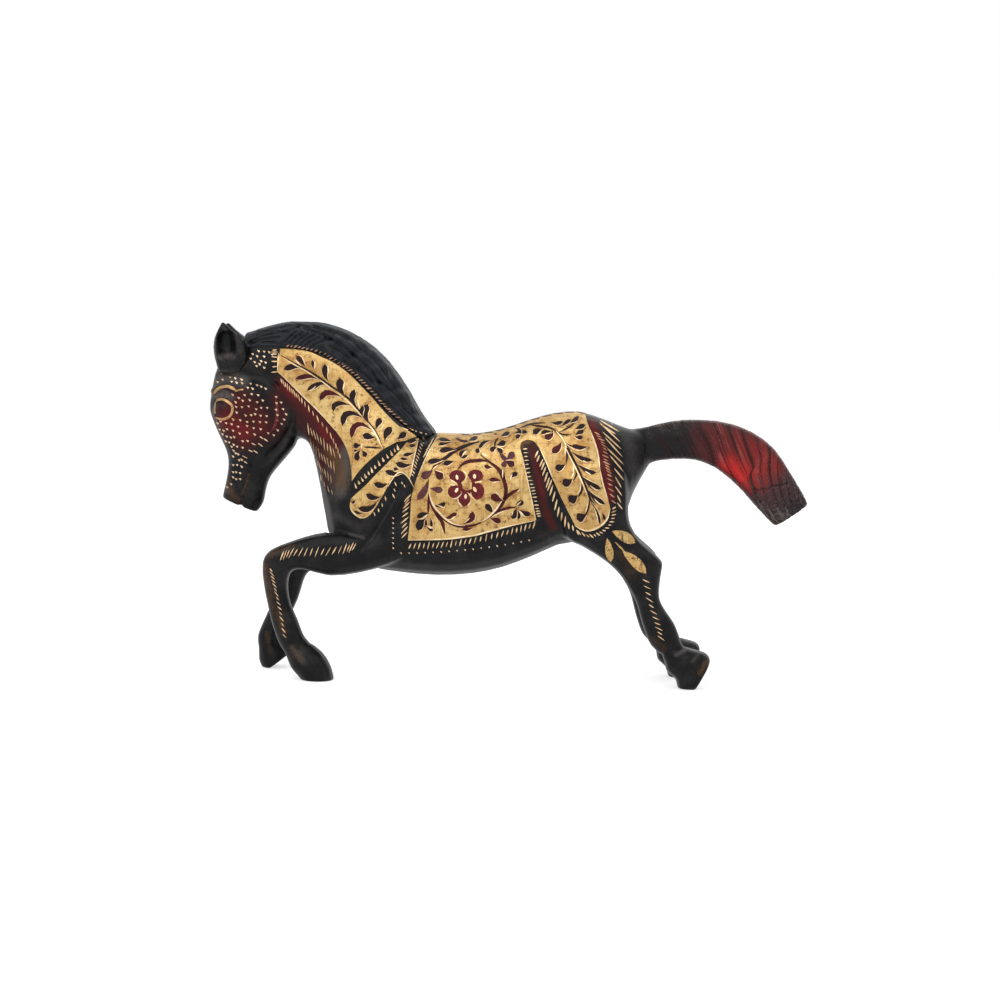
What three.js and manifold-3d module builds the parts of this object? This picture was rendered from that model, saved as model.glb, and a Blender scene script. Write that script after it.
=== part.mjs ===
// Running horse ornament, cast in brass in several pieces that are brazed together.
// Millimetres, +Z up. The horse runs towards -X and its left side is -Y.
// The origin is on the ground, under the middle of the finished figure.
import * as THREE from 'three';
import { mergeVertices } from 'three/addons/utils/BufferGeometryUtils.js';
import Module from 'manifold-3d';

const wasm = await Module();
wasm.setup();

// Fits and walls
const CLEARANCE = 0.3;
const WALL = 3;

// Half-widths across the horse, at the fullest rib of each casting
const TRUNK_HALF_WIDTH = 19;
const NECK_HALF_WIDTH = 20;
const HEAD_HALF_WIDTH = 9.8;
const TAIL_HALF_WIDTH = 5.2;
const FORELEG_HALF_WIDTH = 7.6;
const HINDLEG_HALF_WIDTH = 8.4;
const MANE_HALF_WIDTH = 10.2;
const EAR_HALF_WIDTH = 3.6;

// How far inside the flank the middle of a leg lies, how far an ear stands from the middle, and how
// far the right hind hoof is ahead of the left one
const LEG_INSET = 6;
const EAR_PLANE = 6.2;
const HOCK_HEIGHT = 42;
const RIGHT_HOOF_FORWARD = 1.2;
const LEG_PLANE = TRUNK_HALF_WIDTH - LEG_INSET;

// Round tenons that locate the castings on the trunk
const LEG_TENON_RADIUS = 3.5;
const FORE_TENON_LENGTH = 9;
const HIND_TENON_LENGTH = 9;
const NECK_TENON_RADIUS = 6;
const NECK_TENON_LENGTH = 16;
const TAIL_TENON_RADIUS = 3;
const TAIL_TENON_LENGTH = 12;
const EAR_PEG_RADIUS = 1.3;
const EAR_PEG_LENGTH = 5;

// Dowels across the seam of the trunk, in bosses cast inside its wall, and pins under the mane
const DOWEL_RADIUS = 1.5;
const DOWEL_LENGTH = 12;
const BOSS_RADIUS = 4;
const MANE_PIN_RADIUS = 1.2;
const MANE_PIN_LENGTH = 9;

// Mane locks, ear rim and eye
const MANE_LOCKS = 15;
const LOCK_DEPTH = 0.9;
const LOCK_LEAN = 2.2;
const LOCK_FULLNESS = 0.6;
const EAR_RIM = 1.3;
const EAR_BOWL = [0.05, 0.5, 0.9, 1, 1, 1];
const EYE_RADIUS = 2.6;
const EYE_RIM = 0.7;
const BROW_LENGTH = 7;
const BROW_HEIGHT = 1.6;
const BROW_TILT = 1.2;

// A rib is a cut across a casting, seen from the side: the X and Z of its upper or front edge,
// the X and Z of its lower or back edge, and the share of the casting's half-width that it has.
const TRUNK_RIBS = [
  [-57.5, 68, -57, 53, 0.4],
  [-54.5, 75, -54.5, 44, 0.68],
  [-48, 80, -48.3, 38.8, 0.86],
  [-38.3, 84, -37.3, 36.9, 0.96],
  [-25.4, 85.6, -24.3, 36.1, 1],
  [-13.8, 85.4, -12, 37, 1],
  [-3.4, 87.2, -1.2, 39.5, 0.97],
  [7, 90.9, 9.2, 43.7, 0.92],
  [15.7, 93.4, 17.2, 47.4, 0.92],
  [24.4, 94.1, 24.9, 49.3, 0.95],
  [32.4, 91.9, 32.5, 52.8, 0.9],
  [38, 89.8, 40.2, 58.5, 0.76],
  [42.5, 88.4, 42.9, 65.4, 0.56],
  [46, 87.6, 45.8, 71.4, 0.38],
  [48.5, 86.4, 49, 77, 0.22],
];
const NECK_RIBS = [
  [-22.5, 82, -50.5, 41.5, 1],
  [-26.5, 85, -60.8, 46.5, 0.97],
  [-32.5, 92, -63.4, 55, 0.9],
  [-40.5, 104, -65.6, 66, 0.7],
  [-51, 114.6, -68.2, 77, 0.57],
  [-61.9, 119.6, -70.5, 81.8, 0.52],
  [-72.1, 120.8, -74, 83, 0.5],
  [-81, 119.6, -80, 85, 0.48],
  [-89, 116, -88, 90, 0.45],
  [-95.5, 109.5, -95.5, 96, 0.39],
  [-102, 107, -102.4, 102, 0.28],
];
const HEAD_RIBS = [
  [-102.6, 106, -88, 105.3, 0.55],
  [-103.4, 101.9, -80.6, 100.2, 0.88],
  [-104.3, 96.6, -76.6, 95, 0.98],
  [-104.6, 92, -75.5, 89.4, 1],
  [-103.3, 87.9, -75, 84.6, 0.97],
  [-101.1, 83, -74.2, 81.4, 0.9],
  [-98.6, 77.8, -76.6, 77.6, 0.8],
  [-97.8, 73.6, -80.3, 73.1, 0.7],
  [-98.2, 69.1, -83.5, 68.8, 0.62],
  [-99.1, 64.6, -84.9, 64.2, 0.57],
  [-99.5, 62.7, -85.6, 60, 0.54],
  [-99.8, 61.4, -87.8, 56.6, 0.5],
];
const TAIL_RIBS = [
  [39, 88.5, 41, 72, 0.9],
  [45.8, 89, 48.3, 76.5, 0.85],
  [52.4, 90.8, 53.2, 78.1, 0.85],
  [60, 92.2, 61, 78.7, 0.92],
  [68.4, 92.4, 66.7, 78.1, 1],
  [76.8, 91.4, 72.4, 75.7, 1],
  [84.8, 88.5, 77.7, 71.8, 1],
  [92.3, 83.2, 82.4, 67.4, 0.98],
  [98.2, 75, 87.1, 62.2, 0.95],
  [102.7, 68, 91, 58.3, 0.92],
  [104.9, 63.9, 93.6, 56, 0.9],
];
const SHOULDER_RIBS = [
  [-40, 54, -31, 48, 0.25],
  [-45, 54.5, -34, 43.5, 0.72],
  [-51.5, 52.5, -40.5, 40.4, 0.95],
];
const LEFT_FORELEG_RIBS = [
  ...SHOULDER_RIBS,
  [-59.3, 51.5, -50.4, 37.5, 1],
  [-66.8, 50.1, -60.7, 36.1, 0.85],
  [-74.7, 47.4, -69.4, 38.2, 0.72],
  [-81.5, 44.3, -73.5, 37.7, 0.68],
  [-83.9, 40.2, -75, 34.9, 0.66],
  [-83.4, 33, -75.1, 30.7, 0.58],
  [-81.9, 25.7, -74.1, 25.9, 0.54],
  [-80.1, 18.5, -71.6, 20.4, 0.58],
  [-77.7, 12.3, -69.6, 15.3, 0.6],
  [-75.4, 8.5, -67.5, 12.9, 0.58],
  [-73.6, 4, -63, 9.5, 0.76],
  [-70.8, 1, -59.8, 4.4, 0.82],
  [-69, -2, -58.4, -1.5, 0.82],
];
const RIGHT_FORELEG_RIBS = [
  ...SHOULDER_RIBS,
  [-58.5, 49.5, -50, 36.6, 1],
  [-64.9, 47.5, -60, 35.9, 0.85],
  [-73, 44.5, -68, 35.6, 0.72],
  [-79.5, 40, -71, 34, 0.68],
  [-80.8, 33.5, -72.4, 31.2, 0.6],
  [-82.2, 27, -74.2, 24.8, 0.54],
  [-84.5, 20.5, -77, 18.7, 0.54],
  [-87.3, 14, -80.2, 12.4, 0.58],
  [-88.3, 10.5, -80, 9.6, 0.58],
  [-87.8, 6.5, -78.6, 7.8, 0.64],
  [-87.6, 2, -76.9, 6.8, 0.76],
  [-85.6, -1.6, -76.3, 5.6, 0.78],
];
const LEFT_HINDLEG_RIBS = [
  [14.5, 83, 34, 84.5, 0.1],
  [12.5, 77.5, 38, 79.5, 0.42],
  [13.5, 70.5, 40.8, 72.5, 0.86],
  [16.5, 60, 41.3, 64.5, 1],
  [19.5, 51.5, 41.4, 59.8, 0.98],
  [25.1, 48.8, 42.4, 55.6, 0.9],
  [32.1, 44.8, 45.8, 50.7, 0.78],
  [37, 41.1, 50.5, 46.7, 0.7],
  [40.3, 37.4, 53.6, 43.5, 0.65],
  [42, 34.6, 53.4, 41.2, 0.62],
  [44.2, 31.2, 52.8, 36.2, 0.55],
  [45.6, 27.8, 52.8, 30.9, 0.5],
  [46.9, 23.3, 55.2, 26.6, 0.5],
  [48.5, 18.8, 58.3, 22.3, 0.54],
  [50.4, 14.8, 60.3, 17.5, 0.54],
  [53.8, 11.8, 61.4, 14.8, 0.5],
  [55.5, 8.9, 65.6, 13.4, 0.64],
  [56.1, 5.9, 69.1, 12.6, 0.7],
  [59.6, 3, 70.6, 11.3, 0.7],
  [60.4, -1, 71, 10.2, 0.68],
  [65, -1.5, 71, 9.6, 0.64],
];
// The right hind leg has the same ribs, with its hoof swung forward below the hock
const RIGHT_HINDLEG_RIBS = LEFT_HINDLEG_RIBS.map(([x, z, backX, backZ, share]) => [
  x - swing(z), z, backX - swing(backZ), backZ, share,
]);
// Crest of the mane, the seat below it that the comb is brazed to, and the share of its half-width
const MANE_RIBS = [
  [-93, 118.4, -92.4, 113.6, 0.6],
  [-82.5, 121.8, -81, 113.7, 0.78],
  [-73.9, 123.2, -73.1, 113.6, 0.8],
  [-63.4, 122.3, -65, 112, 0.82],
  [-52.7, 118.1, -57.6, 108, 0.86],
  [-43.6, 111, -50.6, 101.5, 0.92],
  [-36.5, 101.7, -43.8, 94.3, 1],
  [-30.7, 92.1, -36.4, 88, 0.95],
  [-25.2, 85.2, -29.6, 82.6, 0.8],
];
const EAR_RIBS = [
  [-101, 105, -91.5, 105.5, 0.7],
  [-102.4, 109.5, -90.6, 110, 0.92],
  [-103, 113.5, -91.2, 114.2, 1],
  [-102.6, 117, -93.8, 117.4, 0.8],
  [-101.4, 119.8, -97.2, 120.2, 0.5],
  [-100.2, 122.2, -99.4, 122.2, 0.15],
];

// Where each tenon enters the trunk, as X and Z, and where along the trunk the dowels stand
const FORE_TENON_AT = [-42.5, 46.5];
const HIND_TENON_AT = [28, 62.5];
const NECK_TENON_FROM = [-55, 76];
const NECK_TENON_TO = [-43.5, 64.5];
const TAIL_TENON_AT = 82.5;
const WITHERS_ALONG = 0.31;
const CROUP_ALONG = 0.66;
const BRISKET_ALONG = 0.25;
const FLANK_ALONG = 0.55;
const MANE_PIN_ALONG = [0.3, 0.66];

// Where the eye and brow lie on the head: along it from poll to muzzle, and round it from the face
const EYE_ALONG = 0.3;
const EYE_ROUND = 0.86;
const BROW_ALONG = 0.16;
const BROW_ROUND = 0.8;

// Section shape, and how finely each casting is ribbed
const TRUNK = { ribs: TRUNK_RIBS, halfWidth: TRUNK_HALF_WIDTH, sides: 26, steps: 2, power: 2.5, egg: -0.1 };
const NECK = { ribs: NECK_RIBS, halfWidth: NECK_HALF_WIDTH, sides: 20, steps: 2, power: 2.4, egg: -0.05 };
const HEAD = { ribs: HEAD_RIBS, halfWidth: HEAD_HALF_WIDTH, sides: 20, steps: 2, power: 2.3 };
const TAIL = { ribs: TAIL_RIBS, halfWidth: TAIL_HALF_WIDTH, sides: 14, steps: 2, power: 2.4 };
const FORELEG = { halfWidth: FORELEG_HALF_WIDTH, sides: 12, steps: 2, power: 2.3 };
const HINDLEG = { halfWidth: HINDLEG_HALF_WIDTH, sides: 12, steps: 2, power: 2.3 };
const EAR = { ribs: EAR_RIBS, halfWidth: EAR_HALF_WIDTH, sides: 10, steps: 2, power: 2.1 };
const LEFT = -1;
const RIGHT = 1;

const LACQUER = { color: 0x1b1b20, roughness: 0.32, metalness: 0.25 };
const MAROON_LACQUER = { color: 0x3a1416, roughness: 0.34, metalness: 0.25 };
const RED_LACQUER = { color: 0x7c1a1c, roughness: 0.36, metalness: 0.25 };
const BRASS = { color: 0xc59a4a, roughness: 0.38, metalness: 0.9 };

// How far forward the right hind leg is swung at a height
function swing(z) {
  return RIGHT_HOOF_FORWARD * Math.max(0, 1 - z / HOCK_HEIGHT);
}

// One edge of a casting as a smooth curve: X and Z along the edge, with the width share in Y
function edgeCurve(ribs, column) {
  const points = ribs.map((rib) => new THREE.Vector3(rib[column], rib[4], rib[column + 1]));
  return new THREE.CatmullRomCurve3(points, false, 'catmullrom');
}

// A rounded square drawn with cosine and sine
function squared(value, power) {
  return Math.sign(value) * Math.abs(value) ** (2 / power);
}

// Gives the function that finds a point of a casting's skin: along runs from the first rib to the
// last, and round turns about it from the front edge.
function skinOf({ ribs, halfWidth, middle = 0, power = 2, egg = 0, relief }) {
  const front = edgeCurve(ribs, 0);
  const back = edgeCurve(ribs, 2);
  return (along, round) => {
    const a = front.getPoint(along);
    const b = back.getPoint(along);
    const size = relief ? 1 - relief(along, round) : 1;
    const up = squared(Math.cos(round), power);
    const out = squared(Math.sin(round), power) * (1 + egg * up);
    const point = b.clone().lerp(a, (1 + up * size) / 2);
    point.y = middle + halfWidth * a.y * out * size;
    return point;
  };
}

// Makes sure that a closed mesh has its faces outwards
function faceOutwards(geometry) {
  const place = geometry.getAttribute('position');
  const index = geometry.getIndex();
  const corner = [new THREE.Vector3(), new THREE.Vector3(), new THREE.Vector3()];
  let volume = 0;
  for (let i = 0; i < index.count; i += 3) {
    corner.forEach((vector, k) => vector.fromBufferAttribute(place, index.getX(i + k)));
    volume += corner[0].dot(corner[1].clone().cross(corner[2]));
  }
  if (volume < 0) {
    for (let i = 0; i < index.count; i += 3) {
      const first = index.getX(i);
      index.setX(i, index.getX(i + 1));
      index.setX(i + 1, first);
    }
  }
  return geometry;
}

// A closed casting through its ribs
function loft(form) {
  const skin = skinOf(form);
  const { sides } = form;
  const rings = (form.ribs.length - 1) * form.steps;
  const points = [];
  const faces = [];
  for (let ring = 0; ring <= rings; ring += 1) {
    for (let side = 0; side < sides; side += 1) {
      points.push(skin(ring / rings, (2 * Math.PI * side) / sides));
    }
  }
  for (let ring = 0; ring < rings; ring += 1) {
    for (let side = 0; side < sides; side += 1) {
      const here = ring * sides + side;
      const next = ring * sides + ((side + 1) % sides);
      faces.push(here, next, next + sides, here, next + sides, here + sides);
    }
  }
  for (const [ring, turned] of [[0, true], [rings, false]]) {
    const rim = points.slice(ring * sides, (ring + 1) * sides);
    const centre = points.length;
    points.push(rim.reduce((sum, point) => sum.add(point), new THREE.Vector3()).divideScalar(sides));
    for (let side = 0; side < sides; side += 1) {
      const here = ring * sides + side;
      const next = ring * sides + ((side + 1) % sides);
      faces.push(centre, turned ? next : here, turned ? here : next);
    }
  }
  const geometry = new THREE.BufferGeometry().setFromPoints(points);
  geometry.setIndex(faces);
  return faceOutwards(geometry);
}

// The same closed mesh with its skin moved out, or in for a negative amount
function swollen(geometry, amount) {
  const copy = geometry.clone();
  copy.computeVertexNormals();
  const place = copy.getAttribute('position');
  const normal = copy.getAttribute('normal');
  for (let i = 0; i < place.count; i += 1) {
    place.setXYZ(
      i,
      place.getX(i) + amount * normal.getX(i),
      place.getY(i) + amount * normal.getY(i),
      place.getZ(i) + amount * normal.getZ(i),
    );
  }
  copy.deleteAttribute('normal');
  return copy;
}

// A closed geometry as a solid that can be cut and joined
function solid(geometry) {
  const bare = geometry.clone();
  bare.deleteAttribute('normal');
  bare.deleteAttribute('uv');
  const merged = mergeVertices(bare);
  return new wasm.Manifold(new wasm.Mesh({
    numProp: 3,
    vertProperties: new Float32Array(merged.getAttribute('position').array),
    triVerts: new Uint32Array(merged.getIndex().array),
  }));
}

// The casting itself, without the thin chips that a cut along a neighbour can leave
function largest(body) {
  const bodies = body.decompose();
  return bodies.reduce((best, one) => (one.volume() > best.volume() ? one : best));
}

// A round bar between two points
function bar(from, to, radius, sides = 12) {
  const start = new THREE.Vector3(...from);
  const end = new THREE.Vector3(...to);
  const way = end.clone().sub(start);
  const geometry = new THREE.CylinderGeometry(radius, radius, way.length(), sides);
  const turn = new THREE.Quaternion().setFromUnitVectors(
    new THREE.Vector3(0, 1, 0),
    way.clone().normalize(),
  );
  geometry.applyQuaternion(turn);
  geometry.translate(...start.add(end).multiplyScalar(0.5).toArray());
  return solid(geometry);
}

// Everything below the ground, which trims the soles flat
function belowGround() {
  const size = 600;
  const box = new THREE.BoxGeometry(size, size, size);
  box.translate(0, 0, -size / 2);
  return solid(box);
}

// A tenon with the socket that takes it
function tenon(from, to, radius) {
  const socketEnd = new THREE.Vector3(...to);
  const way = socketEnd.clone().sub(new THREE.Vector3(...from)).setLength(CLEARANCE);
  return {
    peg: bar(from, to, radius),
    socket: bar(from, socketEnd.add(way).toArray(), radius + CLEARANCE),
  };
}

// The trunk, its outside with clearance for what is coped to it, and the hollow in it
const trunkForm = loft(TRUNK);
const trunkOutside = solid(trunkForm);
const trunkClear = solid(swollen(trunkForm, CLEARANCE));
const hollow = solid(swollen(loft({ ...TRUNK, ribs: TRUNK_RIBS.slice(1, -1), sides: 12, steps: 1 }), -WALL));

// Tenons of the legs, neck and tail
function legTenon(side, [x, z], halfWidth, length) {
  const root = LEG_PLANE + halfWidth / 2;
  return tenon([x, side * root, z], [x, side * (root - length), z], LEG_TENON_RADIUS);
}
const foreTenons = [LEFT, RIGHT].map(
  (side) => legTenon(side, FORE_TENON_AT, FORELEG_HALF_WIDTH, FORE_TENON_LENGTH),
);
const hindTenons = [LEFT, RIGHT].map(
  (side) => legTenon(side, HIND_TENON_AT, HINDLEG_HALF_WIDTH, HIND_TENON_LENGTH),
);
const neckWay = new THREE.Vector2(...NECK_TENON_TO).sub(new THREE.Vector2(...NECK_TENON_FROM));
const neckEnd = new THREE.Vector2(...NECK_TENON_FROM).add(neckWay.setLength(NECK_TENON_LENGTH));
const neckTenon = tenon(
  [NECK_TENON_FROM[0], 0, NECK_TENON_FROM[1]],
  [neckEnd.x, 0, neckEnd.y],
  NECK_TENON_RADIUS,
);
const tailRoot = TAIL_RIBS[2][0];
const tailTenon = tenon(
  [tailRoot, 0, TAIL_TENON_AT],
  [tailRoot - TAIL_TENON_LENGTH, 0, TAIL_TENON_AT],
  TAIL_TENON_RADIUS,
);
const sockets = [...foreTenons, ...hindTenons, neckTenon, tailTenon].map((joint) => joint.socket);

// A dowel across the seam: its boss hangs from the wall at the back, or stands on it at the belly
function dowelAt(along, edge) {
  const skin = skinOf(TRUNK);
  const wall = skin(along, edge);
  const opposite = skin(along, edge + Math.PI);
  const inwards = opposite.sub(wall).setLength(WALL + BOSS_RADIUS / 2);
  const centre = wall.add(inwards);
  const across = (half, radius) => bar(
    [centre.x, -half, centre.z],
    [centre.x, half, centre.z],
    radius,
  );
  return {
    boss: across(DOWEL_LENGTH / 2 + WALL, BOSS_RADIUS).intersect(trunkOutside),
    hole: across(DOWEL_LENGTH / 2 + CLEARANCE, DOWEL_RADIUS + CLEARANCE),
    dowel: across(DOWEL_LENGTH / 2, DOWEL_RADIUS),
  };
}
const dowels = {
  dowel_withers: dowelAt(WITHERS_ALONG, 0),
  dowel_croup: dowelAt(CROUP_ALONG, 0),
  dowel_brisket: dowelAt(BRISKET_ALONG, Math.PI),
  dowel_flank: dowelAt(FLANK_ALONG, Math.PI),
};

// One half of the hollow trunk, split along the middle of the horse
function trunkShell(side) {
  let shell = trunkOutside.subtract(hollow);
  for (const { boss } of Object.values(dowels)) {
    shell = shell.add(boss);
  }
  for (const { hole } of Object.values(dowels)) {
    shell = shell.subtract(hole);
  }
  for (const socket of sockets) {
    shell = shell.subtract(socket);
  }
  const reach = 300;
  const half = new THREE.BoxGeometry(2 * reach, reach, 2 * reach);
  half.translate(0, side * (reach / 2 + CLEARANCE / 2), 0);
  return largest(shell.intersect(solid(half)));
}

// The seat under the mane, as the region above it that the comb fills
function aboveSeat(drop) {
  const seat = new THREE.SplineCurve(MANE_RIBS.map((rib) => new THREE.Vector2(rib[2], rib[3] - drop)));
  const line = seat.getPoints(4 * (MANE_RIBS.length - 1));
  const first = MANE_RIBS[0];
  const last = MANE_RIBS.at(-1);
  const top = 40;
  const outline = new THREE.Shape([
    ...line,
    new THREE.Vector2(last[0] + top, last[1]),
    new THREE.Vector2(last[0] + top, last[1] + 2 * top),
    new THREE.Vector2(first[2] - drop, last[1] + 2 * top),
  ]);
  const depth = 4 * MANE_HALF_WIDTH;
  const block = new THREE.ExtrudeGeometry(outline, { depth, bevelEnabled: false });
  block.translate(0, 0, -depth / 2);
  block.rotateX(Math.PI / 2);
  return solid(block);
}

// Pins between the mane and the crest, square to the seat
const seatCurve = new THREE.SplineCurve(MANE_RIBS.map((rib) => new THREE.Vector2(rib[2], rib[3])));
const manePins = MANE_PIN_ALONG.map((along) => {
  const at = seatCurve.getPoint(along);
  const way = seatCurve.getTangent(along);
  const half = MANE_PIN_LENGTH / 2;
  const across = (length, radius) => bar(
    [at.x + way.y * length, 0, at.y - way.x * length],
    [at.x - way.y * length, 0, at.y + way.x * length],
    radius,
  );
  return { pin: across(half, MANE_PIN_RADIUS), hole: across(half + CLEARANCE, MANE_PIN_RADIUS + CLEARANCE) };
});

// Leaning locks: how far a groove between two locks is cut into the mane
function lockGroove(along, round) {
  const fromCrest = Math.abs(((round + Math.PI) % (2 * Math.PI)) - Math.PI);
  const lock = along * MANE_LOCKS + LOCK_LEAN * fromCrest / Math.PI;
  const groove = 1 - Math.abs(2 * (lock - Math.floor(lock)) - 1) ** LOCK_FULLNESS;
  return (LOCK_DEPTH / MANE_HALF_WIDTH) * groove * Math.min(1, fromCrest * 2);
}

// The mane comb: a rounded crest with leaning locks, cut off along its seat
const maneForm = loft({
  ribs: MANE_RIBS.map(([x, z, seatX, seatZ, share]) => [x, z, 2 * seatX - x, 2 * seatZ - z, share]),
  halfWidth: MANE_HALF_WIDTH,
  sides: 14,
  steps: 5,
  power: 2.3,
  relief: lockGroove,
});
const maneClear = solid(swollen(maneForm, CLEARANCE));

function maneComb() {
  let comb = solid(maneForm).intersect(aboveSeat(-CLEARANCE / 2)).subtract(trunkClear);
  for (const { hole } of manePins) {
    comb = comb.subtract(hole);
  }
  return largest(comb);
}

// A point on the head with the direction straight out of it
function onHead(along, round) {
  const skin = skinOf(HEAD);
  const step = 0.01;
  const at = skin(along, round);
  const down = skin(along + step, round).sub(at);
  const across = skin(along, round + step).sub(at);
  const out = down.cross(across).normalize();
  return { at, out: out.y * Math.sin(round) < 0 ? out.negate() : out };
}

// A raised piece set on the head, with its own Z axis pointing out of the skin
function setOnHead(geometry, { at, out }) {
  geometry.applyQuaternion(new THREE.Quaternion().setFromUnitVectors(new THREE.Vector3(0, 0, 1), out));
  geometry.translate(...at.toArray());
  return solid(geometry);
}

function eyeAndBrow(side) {
  const eye = onHead(EYE_ALONG, side * EYE_ROUND);
  const brow = onHead(BROW_ALONG, side * BROW_ROUND);
  const rim = new THREE.TorusGeometry(EYE_RADIUS, EYE_RIM, 5, 12);
  const ball = new THREE.SphereGeometry(EYE_RADIUS, 12, 6);
  ball.scale(1, 1, EYE_RIM / EYE_RADIUS);
  const ridge = new THREE.SphereGeometry(BROW_HEIGHT / 2, 8, 6);
  ridge.scale(1, BROW_LENGTH / BROW_HEIGHT, 1);
  ridge.rotateZ(-side * BROW_TILT);
  return [setOnHead(rim, eye), setOnHead(ball, eye), setOnHead(ridge, brow)];
}

// Head and neck in one casting, coped to the trunk, with the mane's seat along its crest
const neckForm = loft(NECK);
const headForm = loft(HEAD);
const headAndNeckClear = solid(swollen(neckForm, CLEARANCE)).add(solid(swollen(headForm, CLEARANCE)));

// Pegs of the ears
function earPeg(side) {
  const foot = EAR_RIBS[0];
  const x = (foot[0] + foot[2]) / 2;
  return tenon(
    [x, side * EAR_PLANE, foot[1] + EAR_PEG_LENGTH / 2],
    [x, side * (EAR_PLANE - EAR_HALF_WIDTH), foot[1] - EAR_PEG_LENGTH / 2],
    EAR_PEG_RADIUS,
  );
}
const earPegs = [LEFT, RIGHT].map(earPeg);

function headAndNeck() {
  let body = solid(neckForm).add(solid(headForm));
  for (const side of [LEFT, RIGHT]) {
    for (const raised of eyeAndBrow(side)) {
      body = body.add(raised);
    }
  }
  body = body.subtract(aboveSeat(CLEARANCE / 2)).subtract(trunkClear);
  for (const { hole } of manePins) {
    body = body.subtract(hole);
  }
  for (const { socket } of [...earPegs, ...foreTenons]) {
    body = body.subtract(socket);
  }
  return largest(body).add(neckTenon.peg);
}

// An ear: a leaf-shaped cup that opens outwards and forwards
function ear(side, peg) {
  const leaf = { ...EAR, middle: side * EAR_PLANE };
  const inner = EAR_RIBS.map(([x, z, backX, backZ, share], i) => [
    x + EAR_RIM, z + EAR_RIM, backX - EAR_RIM, backZ + EAR_RIM, share * EAR_BOWL[i],
  ]);
  const bowl = { ...EAR, ribs: inner, middle: side * (EAR_PLANE + EAR_RIM) };
  const cup = solid(loft(leaf)).subtract(solid(loft(bowl)));
  return largest(cup.subtract(headAndNeckClear).subtract(maneClear)).add(peg);
}

// A leg, coped to the trunk and to the neck, with a flat sole
function leg(form, side, peg) {
  const whole = solid(loft({ ...form, middle: side * LEG_PLANE }));
  const cut = whole.subtract(trunkClear).subtract(headAndNeckClear).subtract(belowGround());
  return largest(cut).add(peg);
}

// The tail, coped to the rump
function tail() {
  return largest(solid(loft(TAIL)).subtract(trunkClear)).add(tailTenon.peg);
}

// A finished piece as a named mesh
function piece(name, body, finish) {
  const { vertProperties, triVerts, numProp } = body.getMesh();
  const geometry = new THREE.BufferGeometry();
  geometry.setAttribute('position', new THREE.BufferAttribute(new Float32Array(vertProperties), numProp));
  geometry.setIndex(new THREE.BufferAttribute(new Uint32Array(triVerts), 1));
  geometry.computeVertexNormals();
  const mesh = new THREE.Mesh(geometry, new THREE.MeshStandardMaterial(finish));
  mesh.name = name;
  return mesh;
}

const horse = new THREE.Group();
horse.add(
  piece('trunk_shell_left', trunkShell(LEFT), LACQUER),
  piece('trunk_shell_right', trunkShell(RIGHT), LACQUER),
  piece('head_and_neck', headAndNeck(), MAROON_LACQUER),
  piece('mane_comb', maneComb(), LACQUER),
  piece('ear_left', ear(LEFT, earPegs[0].peg), LACQUER),
  piece('ear_right', ear(RIGHT, earPegs[1].peg), LACQUER),
  piece('foreleg_left', leg({ ...FORELEG, ribs: LEFT_FORELEG_RIBS }, LEFT, foreTenons[0].peg), LACQUER),
  piece('foreleg_right', leg({ ...FORELEG, ribs: RIGHT_FORELEG_RIBS }, RIGHT, foreTenons[1].peg), LACQUER),
  piece('hindleg_left', leg({ ...HINDLEG, ribs: LEFT_HINDLEG_RIBS }, LEFT, hindTenons[0].peg), LACQUER),
  piece('hindleg_right', leg({ ...HINDLEG, ribs: RIGHT_HINDLEG_RIBS }, RIGHT, hindTenons[1].peg), LACQUER),
  piece('tail', tail(), RED_LACQUER),
);
for (const [name, { dowel }] of Object.entries(dowels)) {
  horse.add(piece(name, dowel, BRASS));
}
['mane_pin_upper', 'mane_pin_lower'].forEach((name, i) => {
  horse.add(piece(name, manePins[i].pin, BRASS));
});

// The origin goes under the middle of the finished figure
const box = new THREE.Box3().setFromObject(horse);
const centre = box.getCenter(new THREE.Vector3());
horse.position.set(-centre.x, -centre.y, -box.min.z);

export default horse;
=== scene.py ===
import math

import bpy
import numpy as np
from mathutils import Matrix, Vector
from mathutils.bvhtree import BVHTree
from mathutils.kdtree import KDTree


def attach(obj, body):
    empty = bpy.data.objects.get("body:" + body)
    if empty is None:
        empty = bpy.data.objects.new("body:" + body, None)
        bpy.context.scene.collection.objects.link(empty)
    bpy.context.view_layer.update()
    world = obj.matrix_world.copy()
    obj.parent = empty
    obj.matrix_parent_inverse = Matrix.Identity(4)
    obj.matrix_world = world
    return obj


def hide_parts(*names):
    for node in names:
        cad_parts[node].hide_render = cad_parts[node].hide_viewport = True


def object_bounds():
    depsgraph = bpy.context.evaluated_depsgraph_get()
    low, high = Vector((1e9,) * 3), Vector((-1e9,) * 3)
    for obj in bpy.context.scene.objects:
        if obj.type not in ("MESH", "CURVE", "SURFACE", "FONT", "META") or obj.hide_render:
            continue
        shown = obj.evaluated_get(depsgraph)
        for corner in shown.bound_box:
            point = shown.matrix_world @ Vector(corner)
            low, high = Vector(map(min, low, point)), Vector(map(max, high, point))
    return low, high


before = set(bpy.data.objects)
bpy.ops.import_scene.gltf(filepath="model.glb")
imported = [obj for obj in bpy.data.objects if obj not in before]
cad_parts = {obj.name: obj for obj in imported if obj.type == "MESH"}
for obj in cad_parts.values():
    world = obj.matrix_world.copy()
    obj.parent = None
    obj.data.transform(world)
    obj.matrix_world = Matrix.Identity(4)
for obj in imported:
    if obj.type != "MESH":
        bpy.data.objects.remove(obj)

cad_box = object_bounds()
MM = 0.001
PIXEL = 0.35 * MM

# The camera of the photograph: a long lens, a little above the back, tipped by about a degree
IMAGE = 1000
FOCAL = 2000
SENSOR = 36
TILT_DOWN = math.radians(4)
ROLL = math.radians(1.39)
AIM = Vector((-2.95, 0, 62.7)) * MM
AWAY = 700 * MM

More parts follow.
